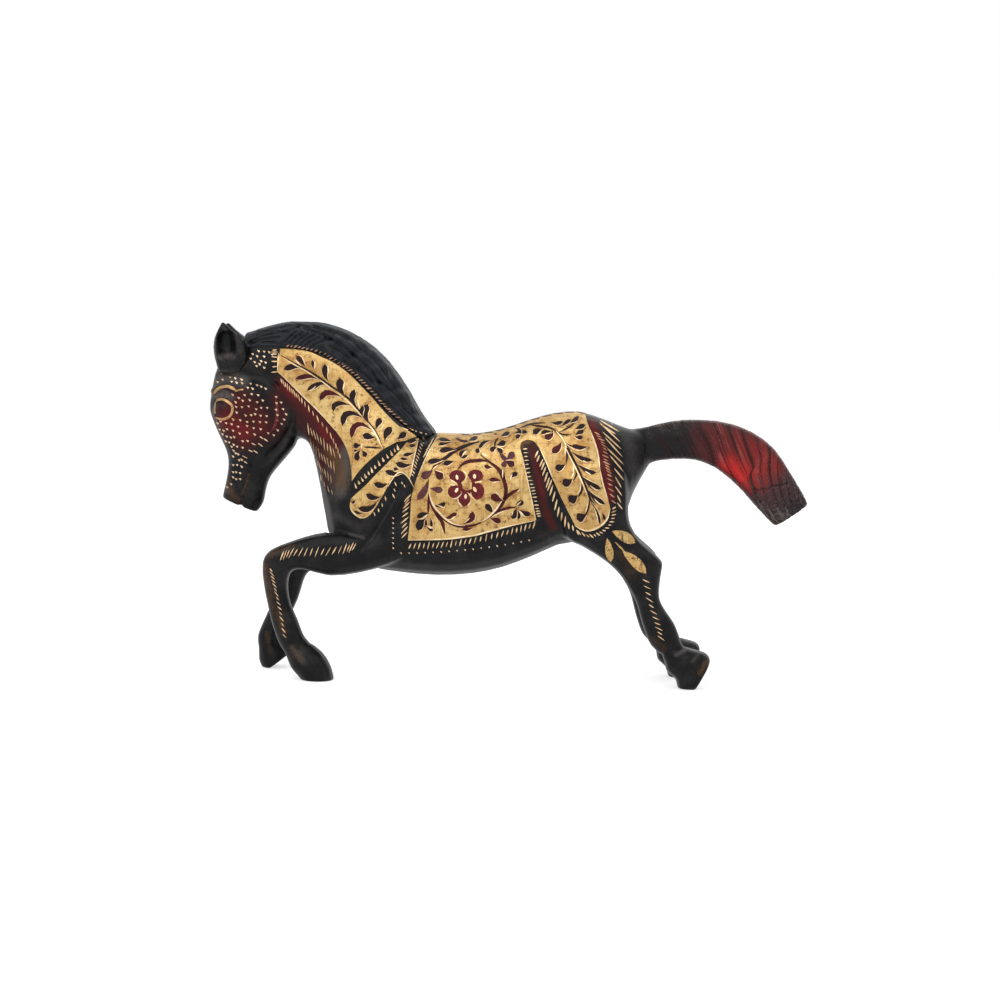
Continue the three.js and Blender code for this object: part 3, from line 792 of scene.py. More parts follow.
def mane_finish():
    f = Finish("carved_blue_black", Specular_IOR_Level=0.2)
    groove = f.kept("groove")
    lock = f.kept("lock")
    grain = f.noise(1300, 4)
    clouds = f.noise(150, 4)
    hairs = f.hairs(70)
    # Painted highlight on the ridges beside the deep lock cuts
    ridge = f.step(lock, 0.02, 0.2) * (1 - f.step(lock, 0.25, 0.6))
    # Lighter grey-blue on the ridges: partly dust, partly a painted sheen
    dust_and_sheen = f.step(clouds * 0.7 + hairs * 0.6, 0.62, 0.95) * (1 - groove)
    fleck = f.step(grain * 0.7 + clouds * 0.3, 0.69, 0.73)
    tone = f.mix(BLUE_BLACK, colour(0.042, 0.046, 0.060), dust_and_sheen * 0.4)
    tone = f.mix(tone, colour(0.040, 0.046, 0.062), ridge * 0.22)
    # Painted shade: the strand grooves and the deep lock cuts are darkened towards black
    cut = f.mix(tone, colour(0.002, 0.002, 0.003), f.step(groove * 0.7 + lock, 0.3, 0.95))
    return f.done(
        Base_Color=f.mix(cut, BROWN, fleck),
        Roughness=clouds * 0.2 + 0.32,
        Normal=f.relief(grain * 0.5 + hairs, 0.15 * MM, 0.4),
    )


def tail_finish():
    f = Finish("carved_red_lacquer", Specular_IOR_Level=0.2)
    groove = f.kept("groove")
    across = f.kept("across")
    grain = f.noise(1200, 4)
    clouds = f.noise(120, 3)
    hairs = f.hairs(110)
    reach = f.kept("along") + clouds * 0.1 + hairs * 0.18 - 0.14
    hue = f.node('ShaderNodeValToRGB', {'stops': [
        (0.0, BLACK), (0.25, BLACK),
        (0.35, colour(0.085, 0.014, 0.014)), (0.46, colour(0.13, 0.015, 0.016)),
        (0.60, colour(0.22, 0.018, 0.019)), (0.76, colour(0.29, 0.025, 0.025)),
        (0.86, colour(0.080, 0.032, 0.033)), (1.0, colour(0.014, 0.014, 0.018)),
    ]}, {'Fac': reach})
    red = f.step(reach, 0.45, 0.6) * (1 - f.step(reach, 0.74, 0.86))
    # Painted light: the lower strands are painted a brighter red
    lit = f.mix(hue, colour(0.80, 0.026, 0.026), f.step(across, 0.42, 0.95) * red * (hairs * 0.9 + 0.45))
    # Painted shade along the upper and lower edges of the tail
    rims = (1 - f.step(across, 0.0, 0.2)) * 0.5 + f.step(across, 0.88, 0.99) * 0.7
    edge = f.mix(lit, colour(0.02, 0.008, 0.009), rims)
    # Painted shade in the carved grooves, with darker streaks along the strands
    dark = f.mix(edge, colour(0.018, 0.004, 0.004), f.step(groove + hairs * 0.9, 0.5, 1.05) * 0.85)
    # Painted highlight: pale streaks along the ridges of the strands
    shine = f.step(hairs, 0.5, 0.68) * (1 - f.step(groove, 0.05, 0.35)) * f.step(reach, 0.34, 0.44)
    pale = f.mix(dark, colour(0.42, 0.11, 0.095), shine * (1 - f.step(reach, 0.76, 0.88)) * 0.5)
    root = (1 - f.step(reach, 0.24, 0.34)) * f.step(reach, 0.02, 0.14) * (1 - f.step(across, 0.1, 0.5))
    ends = f.step(reach, 0.76, 0.92) + root * 0.6
    fleck = f.step(hairs * 0.5 + grain * 0.4 + clouds * 0.3, 0.6, 0.72) * ends
    dust_and_sheen = f.mix(pale, colour(0.15, 0.115, 0.10), fleck)
    crack = f.step(f.kept("crack") * (grain + 0.3), 0.2, 1.0)
    return f.done(
        Base_Color=f.mix(dust_and_sheen, colour(0.008, 0.005, 0.005), crack * 0.8),
        Roughness=clouds * 0.2 + 0.32,
        Normal=f.relief(grain * 0.5 + hairs, 0.15 * MM, 0.5),
    )


lacquer = lacquer_finish()
gold = gold_finish("scraped_brass", 0.0)
rubbed_gold = gold_finish("rubbed_brass", 0.05)
bright_cut = cut_finish("bright_cut_brass", colour(0.74, 0.53, 0.31), colour(0.52, 0.31, 0.15))
# Pale cut brass for the painted highlight lines along the panel edges and the cuts
pale_cut = cut_finish("pale_cut_brass", colour(0.84, 0.67, 0.43), colour(0.66, 0.46, 0.24))
dot_cut = cut_finish("dot_cut_brass", colour(0.70, 0.51, 0.35), colour(0.48, 0.31, 0.19))
tan_cut = cut_finish("tan_cut_brass", colour(0.46, 0.28, 0.13), colour(0.33, 0.17, 0.075))
dim_cut = cut_finish("dim_cut_brass", colour(0.48, 0.28, 0.165), colour(0.31, 0.135, 0.085))
dark_lac = lac_finish("dark_lac", colour(0.010, 0.0065, 0.007), colour(0.032, 0.011, 0.009))
maroon_lac = lac_finish("maroon_lac", colour(0.045, 0.008, 0.009), colour(0.10, 0.011, 0.014))
crimson_lac = lac_finish("crimson_lac", colour(0.11, 0.012, 0.015), colour(0.21, 0.022, 0.028))
red_brown_lac = lac_finish("red_brown_lac", colour(0.12, 0.022, 0.02), colour(0.24, 0.055, 0.045))
lid_lac = lac_finish("lid_lac", colour(0.075, 0.055, 0.055), colour(0.145, 0.11, 0.105))
plum_lac = lac_finish("plum_lac", colour(0.09, 0.03, 0.034), colour(0.16, 0.055, 0.06))


def dress(piece, finish, slot, *nodes):
    pick(piece)
    piece.data.materials.clear()
    piece.data.materials.append(finish)
    bpy.ops.object.shade_smooth_by_angle(angle=math.radians(50))
    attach(piece, "root")
    if nodes:
        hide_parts(*nodes)


dress(body, lacquer, "black_lacquer", *BODY_NODES)
dress(tail, tail_finish(), "red_lacquer", "tail")
dress(mane, mane_finish(), "black_lacquer", "mane_comb")
for ear, node in zip(ears, EAR_NODES):
    dress(ear, lacquer, "black_lacquer", node)
for node in PIN_NODES:
    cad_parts[node].data.materials.clear()
    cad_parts[node].data.materials.append(gold)

# Engraving. It is drawn flat beside the horse in the photograph's pixels, then laid on the skin.

outer_skin = join([new_object("outer_copy", piece.data.copy()) for piece in [body, mane]], "outer_skin")
skin_tree = BVHTree.FromPolygons(
    [v.co for v in outer_skin.data.vertices], [tuple(f.vertices) for f in outer_skin.data.polygons],
)


def drawn(px, py):
    """The place of a pixel in the flat drawing beside the horse."""
    ray = sight(px, py)
    hit = skin_tree.ray_cast(eye, ray)[0]
    if hit is None:
        hit = eye + ray * (-eye.y / ray.y)
    return np.array([hit.x, hit.z])


def blank(spans):
    """A flat strip to copy, with the station of each of its points and the side it is on."""
    deselect()
    bpy.ops.mesh.primitive_grid_add(x_subdivisions=spans, y_subdivisions=2, size=2)
    made = bpy.context.object
    at = points_of(made)
    return made, np.rint((at[:, 0] + 1) * spans / 2).astype(int), at[:, 1]


LEAF_SPANS = 8
CUT_SPANS = 4
BLANKS = {spans: blank(spans) for spans in (LEAF_SPANS, CUT_SPANS)}


def across_path(path):
    """The way across a path at each of its places."""
    way = np.gradient(path, axis=0)
    way /= np.maximum(np.linalg.norm(way, axis=1), 1e-9)[:, None]
    return np.stack([-way[:, 1], way[:, 0]], axis=1)


def strip(path, widths):
    """A strip of the drawing along a path, with its width in pixels at each place."""
    made_from, station, side = BLANKS[len(path) - 1]
    half = widths * PIXEL / 2
    flat = path[station] + across_path(path)[station] * (half[station] * side)[:, None]
    made = new_object("strip_copy", made_from.data.copy())
    place_points(made, np.stack([flat[:, 0], np.full(len(flat), -DRAWING_PLANE), flat[:, 1]], axis=1))
    return made


def stations(points, spans, start=0.0, end=1.0, placed=drawn):
    """Evenly spaced places on a smooth drawn line through pixels."""
    path = curve([placed(*p) for p in points], 8)
    gone = np.concatenate([[0], np.cumsum(np.linalg.norm(np.diff(path, axis=0), axis=1))])
    at = np.linspace(start, end, spans + 1) * gone[-1]
    return np.stack([np.interp(at, gone, path[:, 0]), np.interp(at, gone, path[:, 1])], axis=1)


def in_mm(x, z):
    """A place in the flat drawing given in millimetres, for what the photograph doesn't show."""
    return np.array([x, z]) * MM


def swelling(spans, late, blunt):
    """A width that grows from nothing and closes again, sooner or later along, with blunter ends."""
    u = np.arange(spans + 1) / spans
    return np.sin(math.pi * u ** late) ** blunt


LEAF_SHAPE = 1.25 * swelling(LEAF_SPANS, 1.8, 0.65)
BUD_SHAPE = swelling(LEAF_SPANS, 1.0, 0.5)
CUT_SHAPE = swelling(CUT_SPANS, 1.0, 0.8)
WEDGE_SHAPE = np.array([0.05, 0.4, 0.8, 1.2, 0.9])


def leaves(rows, shape=LEAF_SHAPE, placed=drawn):
    """Leaves, each its width and the pixels from its foot to its tip."""
    return [strip(stations(points, LEAF_SPANS, placed=placed), shape * width) for width, *points in rows]


LIT_WAY = (1, -0.4)


def glints(rows, width):
    """A painted highlight for the lit wall of the recess round each leaf, on the side that faces the lamp."""
    made = []
    for breadth, *points in rows:
        path = stations(points, LEAF_SPANS)
        beside = across_path(path)
        lit = np.sign((beside @ np.array(LIT_WAY)).sum())
        out = LEAF_SHAPE * breadth * PIXEL / 2
        made.append(strip(path + beside * (lit * out)[:, None], BUD_SHAPE * width))
    return made


def lines(rows, taper=0.3, placed=drawn):
    """Drawn lines, each its width and its pixels, thinned towards both ends."""
    made = []
    for width, *points in rows:
        runs = len(points) - 1
        for run in range(runs):
            part = stations(points, LEAF_SPANS, run / runs, (run + 1) / runs, placed)
            u = np.linspace(run / runs, (run + 1) / runs, LEAF_SPANS + 1)
            made.append(strip(part, width * np.clip(np.minimum(u, 1 - u) / taper, 0.15, 1) ** 0.7))
    return made


def hatch(line, count, first, last=None, width=1.1, shape=CUT_SHAPE, placed=drawn):
    """A row of short cuts with their middles along a line, turning from the first way to the last."""
    path = curve(line, 12)
    at = np.linspace(0, 1, len(path))
    made = []
    for i, u in enumerate(np.linspace(0, 1, count)):
        middle = np.array([np.interp(u, at, path[:, 0]), np.interp(u, at, path[:, 1])])
        way = np.array(first) * (1 - u) + np.array(last or first) * u
        way = way * (1 + 0.2 * math.sin(3.7 * i + line[0][1])) / 2
        way = way + 0.1 * math.sin(5.3 * i + line[0][0]) * np.array([-way[1], way[0]])
        thick = width * (1 + 0.2 * math.sin(2.9 * i + 1.3))
        made.append(strip(stations([middle - way, middle + way], CUT_SPANS, placed=placed), shape * thick))
    return made


def dots(places, width):
    """Punched dots, each a small wedge that is broad at its lower right."""
    made = []
    for x, y in places:
        tilt = 1 + 0.4 * math.sin(1.9 * x + y)
        wedge = [(x - 0.8 * width, y - 0.55 * width * tilt), (x + 0.65 * width, y + 0.45 * width * tilt)]
        made.append(strip(stations(wedge, CUT_SPANS), WEDGE_SHAPE * width))
    return made


def drop_misses(piece, flat, side):
    """Deletes what found no skin, what reached past the middle and what is drawn out over an edge."""
    co = points_of(piece)
    fall = co - flat
    missed = np.abs(fall).max(axis=1) < LEAST_FALL
    missed |= co[:, 1] * side < 0
    ends = np.zeros(2 * len(piece.data.edges), np.int32)
    piece.data.edges.foreach_get("vertices", ends)
    first, second = ends.reshape(-1, 2).T
    run = np.linalg.norm(flat[first] - flat[second], axis=1)
    torn = np.linalg.norm(fall[first] - fall[second], axis=1) > TEAR_SLOPE * run + TEAR_SLACK
    missed[first[torn]] = True
    missed[second[torn]] = True
    pick(piece)
    select_only(piece, points=missed)
    bpy.ops.object.mode_set(mode='EDIT')
    bpy.ops.mesh.select_mode(type='VERT')
    bpy.ops.mesh.delete(type='VERT')
    bpy.ops.mesh.select_all(action='SELECT')
    bpy.ops.mesh.delete_loose()
    if side > 0:
        bpy.ops.mesh.select_all(action='SELECT')
        bpy.ops.mesh.flip_normals()
    bpy.ops.object.mode_set(mode='OBJECT')


def all_of(rows):
    return [cut for row in rows for cut in row]


brass_panels = []
leaf_places = []
NEAR_SIDE, FAR_SIDE, TOP = -1, 1, 0


def lay(strips, name, over, finish, slot, onto=NEAR_SIDE, mirrored=True, on_brass=False):
    """Lays a drawing on the skin, gives it thickness and repeats it on the far side."""
    piece = join(strips, name)
    flat = points_of(piece)
    if onto == FAR_SIDE:
        flat = flat * np.array([1, -1, 1])
    if onto == TOP:
        flat = flat[:, [0, 2, 1]] * np.array([1, 1, -TOP_LIFT])
    place_points(piece, flat)
    modify(
        piece, 'SHRINKWRAP', target=outer_skin, wrap_method='PROJECT', wrap_mode='ABOVE_SURFACE',
        use_project_y=onto != TOP, use_project_z=onto == TOP, use_positive_direction=onto == NEAR_SIDE,
        use_negative_direction=onto != NEAR_SIDE, offset=over,
    )
    drop_misses(piece, flat, onto)
    modify(piece, 'SOLIDIFY', thickness=CHIP_DEPTH, offset=-1)
    if mirrored:
        modify(piece, 'MIRROR', use_axis=(False, True, False), use_mirror_merge=False)
    if on_brass:
        leaf_places.extend(points_of(piece))
    dress(piece, finish, slot)


def panel(name, *runs):
    """Bare brass let into the skin inside an outline, on both sides of the horse."""
    outline = np.concatenate([curve([drawn(*p) for p in run], 5) for run in runs])
    deselect()
    bpy.ops.mesh.primitive_circle_add(vertices=len(outline), radius=1, fill_type='NGON')
    stencil = bpy.context.object
    place_points(stencil, np.stack([
        outline[:, 0], np.full(len(outline), -DRAWING_PLANE), outline[:, 1],
    ], axis=1))
    bpy.ops.object.mode_set(mode='EDIT')
    bpy.ops.mesh.select_all(action='SELECT')
    bpy.ops.mesh.remove_doubles(threshold=OUTLINE_MERGE)
    bpy.ops.mesh.extrude_region_move(TRANSFORM_OT_translate={"value": (0, 2 * DRAWING_PLANE, 0)})
    bpy.ops.mesh.select_all(action='SELECT')
    bpy.ops.mesh.normals_make_consistent(inside=False)
    bpy.ops.object.mode_set(mode='OBJECT')
    stencil.data.materials.append(gold)
    piece = new_object(name, body.data.copy())
    modify(
        piece, 'BOOLEAN', object=stencil, operation='INTERSECT', solver='MANIFOLD', material_mode='TRANSFER',
    )
    bpy.data.meshes.remove(stencil.data)
    pick(piece)
    cut = np.zeros(len(piece.data.polygons), np.int32)
    piece.data.polygons.foreach_get("material_index", cut)
    select_only(piece, faces=cut > 0)
    bpy.ops.object.mode_set(mode='EDIT')
    bpy.ops.mesh.select_mode(type='FACE')
    bpy.ops.mesh.delete(type='FACE')
    bpy.ops.mesh.select_all(action='SELECT')
    bpy.ops.mesh.quads_convert_to_tris()
    bpy.ops.transform.shrink_fatten(value=PANEL_RISE)
    bpy.ops.object.mode_set(mode='OBJECT')
    modify(piece, 'SOLIDIFY', thickness=PANEL_DEPTH, offset=-1)
    dress(piece, gold, "bare_brass")
    brass_panels.append(piece)


panel(
    "neck_panel",
    [(280, 349), (290, 348.5), (300, 350), (310, 352), (320, 356.5), (330, 361), (340, 367), (350, 375),
     (360, 385), (370, 395.5), (380, 407), (390, 418), (400, 427), (408, 431), (415, 434.5)],
    [(418, 436), (411, 438.5), (405, 441)],
    [(404, 441), (397, 442), (390, 445.5), (383, 449.5), (376, 455), (370, 460), (360, 470), (352, 481)],
    [(352, 481), (351.5, 470), (350, 460), (347, 450), (342, 440), (335, 430), (325, 418), (315, 407.5),
     (305, 398), (295, 388), (285, 378), (277, 372)],
    [(277, 372), (278, 362), (280, 351)],
)
panel(
    "shoulder_tongue",
    [(419, 438), (416, 452), (413, 465), (410, 479)],
    [(410, 479), (406, 474), (400, 472), (394, 476), (388, 486), (382, 497), (376, 507), (371, 514),
     (365, 518), (358, 517), (352, 512), (350, 506), (351, 499)],
    [(351, 499), (356, 494), (366, 485), (374, 476.5), (382, 468.5), (392, 458.5), (400, 450.5), (406, 443)],
    [(406, 443), (412, 440), (419, 438)],
)
panel(
    "saddle_cloth",
    [(439, 400), (437, 437)],
    [(437, 437), (430, 449), (424, 461), (420, 470), (416, 480), (413, 491), (411, 501), (410, 520),
     (408, 539)],
    [(408, 540), (430, 539.5), (450, 538.5), (462, 537), (475, 535), (490, 531), (505, 527), (520, 523.5),
     (536, 520)],
    [(536, 520), (533, 505), (530, 492), (526, 474), (522.5, 457), (520, 448)],
    [(520, 448), (521.5, 442.5), (527, 440), (534, 441.5), (540, 449)],
    [(540, 449), (546.5, 463), (554, 481.5), (562, 499), (571, 517), (576, 526), (582, 529.5), (589, 530.5),
     (599, 527), (607, 519), (610, 510), (608, 500), (603, 484), (600, 470), (598, 455), (594, 441),
     (590, 430), (586, 418), (584, 400)],
)

# Each leaf is its width and its places from foot to tip, and each line its width and its places

NECK_STEM = [
    (2.0, (282, 356), (290, 360.5), (300, 366), (310, 371.5), (320, 378), (330, 385.5), (340, 392),
     (350, 400), (356, 407), (363, 416), (370, 424), (376, 432), (380, 440), (383, 449)),
    (1.8, (381, 448), (372, 447.5), (363, 447)),
]
NECK_LEAVES = [
    (4.6, (306, 367), (302, 362), (296.5, 355.5)), (2.8, (314, 370), (312.5, 360)),
    (5.0, (329, 382), (325.5, 375), (325, 364)), (6.8, (345, 396), (341, 389), (340, 378)),
    (5.2, (357, 407), (352.5, 399), (354.5, 389.5)), (6.0, (369, 422), (365.5, 413), (367.5, 404)),
    (5.2, (376, 430), (378, 424), (381, 418)), (6.2, (385, 442), (386, 435), (391.5, 427)),
    (5.2, (397, 440), (406, 433)), (3.6, (363, 417), (362, 411), (363, 406)),
    (5.2, (304, 369.5), (295, 366.5), (283.5, 369.5)),
    (4.6, (329, 386), (322, 383.5), (315, 386), (307, 390.5)),
    (4.6, (351, 405.5), (341, 403.5), (334.5, 405.5), (333.5, 411.5)),
    (5.4, (364, 418.5), (353, 413.5), (345, 415.5), (342.5, 426)),
    (5.6, (376, 438), (369, 437), (362.5, 435)), (5.0, (361, 450), (357.5, 455), (358, 461)),
    (4.4, (362, 450), (364.5, 453), (366, 457)), (5.0, (361, 446), (358, 446), (353.5, 446)),
    (2.4, (358, 451), (354, 451)),
]
NECK_MAROON = [
    (4.2, (321, 380.5), (309, 376.5), (295, 379)),
    (5.2, (342, 397), (332, 393.5), (325, 393.5), (320, 400.5)),
    (5.0, (373, 431), (362, 424.5), (354, 427.5), (351.5, 438.5)),
]
TONGUE_LEAVES = [
    (3.6, (418, 440.5), (413, 441), (408, 442.5)), (3.0, (417, 445), (413, 446), (409, 446.5)),
    (3.2, (415, 453), (409, 454.5), (403, 455.5)), (4.6, (413, 464), (404, 466), (395.5, 463)),
    (4.6, (403, 473.5), (394, 474), (385, 471)), (3.4, (399, 470), (396, 469.5), (393.5, 469)),
    (5.0, (389, 483.5), (382, 486), (374, 483.5)), (5.0, (382, 497), (373, 498), (366, 494)),
    (5.2, (378.5, 500), (374, 506), (367, 509.5), (358, 508)), (2.6, (356, 500.5), (352.5, 503.5)),
    (2.4, (410, 459), (405, 459.5), (400, 458.5)), (2.6, (364, 513.5), (359, 513.5), (354, 511)),
]
ROSETTE_PETALS = [
    (12.4, (449, 475.6), (465.6, 477.6)), (11.4, (467.6, 475.2), (483.6, 476)),
    (12.6, (478.6, 482.6), (477, 500)), (12, (464.6, 492), (463.6, 507)),
    (12.6, (455, 484.6), (453.6, 498.6)), (4, (457.6, 479), (460, 485), (462, 491)),
    (4, (460, 488), (466, 492.6), (473, 489.6)), (3.6, (471, 478.6), (473.6, 483), (473, 490)),
]
# Painted highlights between the petals and the centre, partly the pale cut brass itself
PETAL_HIGHLIGHTS = [
    (2.6, (457.6, 480), (456.4, 475)), (3.0, (474.6, 479), (474.4, 474)), (3.0, (473.4, 487), (476.2, 492)),
    (2.6, (465.4, 499), (465.8, 494)), (2.8, (458, 488), (455.2, 492.6)),
]
VINES = [
    (3.2, (457.5, 469.5), (462, 465), (467, 462), (474, 461), (482, 460.5), (489, 462)),
    (3.6, (480.5, 455), (488, 461), (494, 465.5), (499, 470), (502.5, 477), (505, 484), (506, 490.5),
     (505, 497), (502, 504), (497, 510.5), (491, 516), (484, 521)),
    (2.6, (488, 518), (481, 522.5), (474, 525), (466, 526.5), (458, 526), (451, 523.5), (444, 519),
     (438, 514.5), (433, 509), (430, 501), (429, 492)),
    (3.2, (432, 508), (437, 515), (442, 522), (443.5, 527), (445, 534)),
    (3.2, (502, 504), (506, 498), (511, 493.5), (516, 490.5), (520.5, 489.5)),
    (2.6, (490, 516.5), (497, 512), (503, 509.5), (510, 507.5), (517, 507.5)),
    (2.6, (503, 465), (503, 472), (505, 481)), (2.2, (428.5, 494), (428.5, 504), (428, 515)),
]
SADDLE_STEMS = [
    (3.4, (479, 442), (470, 444.5), (462, 447.5), (455, 451), (447, 457), (440, 462), (433, 468), (430, 474)),
    (1.8, (455, 438), (462, 441), (470, 441.5)), (1.8, (498.5, 438), (495.5, 442), (494.5, 448)),
    (1.6, (556, 431), (562, 434.5), (571, 435)), (1.8, (530, 425), (540, 426.5), (550, 428), (558, 432)),
    (1.4, (520, 428), (532, 424), (545, 423)), (1.5, (560, 432), (568, 428), (576, 422)),
]
SADDLE_DARK = [
    (3.2, (453, 442), (446, 440.5), (438, 439.5)), (3.0, (453, 443.5), (446, 443.5), (438, 445)),
    (4.6, (457, 450), (448, 450), (439, 451.5)), (4.6, (445, 460), (437, 461), (427, 462.5)),
    (4.4, (455, 461.5), (449, 463), (443, 464.5)), (3.4, (467, 441.5), (472, 440), (478, 437.5)),
    (3.0, (493, 440.5), (484, 443), (478.5, 449.5)), (4.2, (479, 447.5), (477, 453.5)),
    (3.6, (468, 450.5), (462, 453), (460.5, 457.5)), (3.4, (469, 454.5), (465, 457), (460, 457)),
    (4.4, (497.5, 448), (493.5, 449), (491, 452)), (3.8, (495.5, 447), (499, 449.5), (503, 453)),
    (4.8, (496, 446), (501, 444.5), (506, 442)), (3.0, (499, 436), (493, 434.5), (487, 435)),
    (3.4, (500, 437.5), (505, 435), (510, 433)), (3.4, (513, 434.5), (520, 432.5), (528, 432.5)),
    (3.6, (522.5, 433.5), (519, 436), (516, 439)), (3.0, (515, 427.5), (519, 430), (521.5, 434)),
    (4.8, (543, 429), (538, 431), (533, 434)), (4.0, (433, 506), (440, 506), (446, 503)),
    (4.6, (430, 513.5), (423, 514.5), (417, 518)), (6.6, (428, 516.5), (422, 520.5), (418, 530.5)),
    (4.6, (426, 517), (424.5, 527.5)), (3.2, (425, 525.5), (429, 527.5), (433, 531)),
    (2.6, (431, 517), (432, 527)), (5.0, (494, 514), (490, 509), (485.5, 504)),
    (4.4, (509.5, 479.5), (513, 475.5), (518, 473)), (4.6, (515, 507.5), (519, 504), (524, 502)),
    (5.2, (517, 508), (515, 513), (512.5, 519)), (3.8, (517.5, 509), (518.5, 514), (519, 519)),
    (4.4, (518.5, 509.5), (525, 513.5), (531, 514.5)), (3.2, (549, 422), (556, 424), (563, 422)),
    (4.2, (575, 436), (579, 433), (584, 431)), (4.0, (574, 430), (579, 428), (585, 425)),
    (3.6, (574, 437), (579, 438), (583, 437.5)), (3.6, (569, 424), (574, 421), (579, 417)),
    (3.2, (561, 428), (565, 424), (571, 420)), (3.4, (553, 433), (546, 432), (541, 434)),
]
SADDLE_MAROON = [
    (4.0, (443, 518.5), (450, 517.5), (457, 513)), (5.4, (463, 524.5), (471, 519.5), (473, 511.5)),
    (6.2, (504, 501), (497, 498.5), (491, 494.5)), (3.8, (502, 481.5), (496, 480), (489, 480)),
    (3.6, (493, 468), (488, 467.5), (484, 466)), (4.8, (489.5, 518.5), (495, 520), (501, 522)),
    (2.8, (474, 527), (468, 529.5), (462, 529)), (6.4, (434.5, 470), (439, 475), (443, 478.5)),
    (5.6, (505, 460.5), (510, 463), (514.5, 465.5)), (6.0, (553, 430), (551.5, 435), (544.5, 438.5)),
    (5.6, (562, 441.5), (559, 447.5), (552, 453)), (4.6, (589, 447), (580, 448), (571, 446)),
]
SADDLE_PLUM = [
    (6.4, (433, 470), (427, 474.5), (421, 477)), (4.8, (429.5, 488), (436, 489.5), (443, 490.5)),
    (5.6, (429, 478), (425.5, 489), (417.5, 500)), (5.2, (505.5, 460.5), (510, 457), (514, 452)),
    (4.4, (507, 460), (504.5, 463.5), (503, 467.5)), (3.6, (498.5, 451), (502, 456), (507, 461)),
]
HAUNCH_STEMS = [
    (2.6, (554, 430), (562, 438.5), (567, 446.5), (572, 457), (578, 469), (583, 480.5), (587.5, 491.5),
     (590, 498.5), (594, 505), (597, 512), (600, 524)),
    (1.8, (565, 446), (567, 455), (566.5, 464)), (1.8, (576, 466), (576.5, 474), (573.5, 481)),
    (2.2, (582.5, 481), (581.5, 491), (577.5, 498)), (2.2, (589.5, 499), (588, 509), (584.5, 516)),
]
HAUNCH_LEAVES = [
    (2.8, (563, 441), (570, 446), (579, 448.5), (590, 448)),
    (3.8, (570, 451), (577, 456), (584, 459.5), (592.5, 460.5)),
    (4.0, (576, 463), (584, 469), (589.5, 472), (596.5, 472.5)),
    (5.2, (582, 476), (588, 482), (594, 486.5), (601, 488.5)),
    (4.8, (587, 488.5), (593, 496), (598, 500.5), (605, 504)),
    (3.2, (591, 501), (595, 508), (598, 516), (600.5, 524)),
    (5.8, (566, 464.5), (561, 467.5), (555, 468.5)), (7.0, (573, 479), (569, 482), (562.5, 484)),
    (7.6, (578.5, 495.5), (574, 498.5), (569, 501.5)), (7.6, (587, 514.5), (582, 517), (576.5, 519)),
    (2.6, (602, 512), (604, 516), (605, 520)),
]
# Painted highlights along the panel edges, partly the pale brass of their bevel
EDGE_HIGHLIGHTS = [
    (1.6, (408, 540), (430, 539.5), (450, 538.5), (462, 537), (475, 535), (490, 531), (505, 527),
     (520, 523.5), (535, 520.5)),
    (1.7, (575, 525.5), (582, 529.5), (589, 530.5), (599, 527), (607, 519), (610, 509)),
    (1.5, (590, 430), (594, 441), (598, 455), (600, 470)), (1.0, (600, 470), (603, 484), (608, 500)),
    (1.0, (540, 449), (546.5, 463), (554, 481.5)), (1.0, (522.5, 457), (526, 474), (530, 492), (536, 520)),
    (1.1, (279, 373), (290, 383), (305, 398), (320, 412.5), (335, 430)),
    (1.2, (400, 427), (408, 431), (415, 434.5)),
    (1.0, (388, 487), (394, 477), (400, 472.5), (406, 475), (410, 480), (414, 488)),
    (1.0, (350, 506), (353, 512), (359, 517), (365, 518)), (1.0, (418, 440), (414, 458), (410.5, 477)),
    (0.8, (437, 438), (430, 449.5), (424, 461.5), (419, 474)),
    (1.0, (278.5, 353), (278, 362), (277.5, 371)),
]
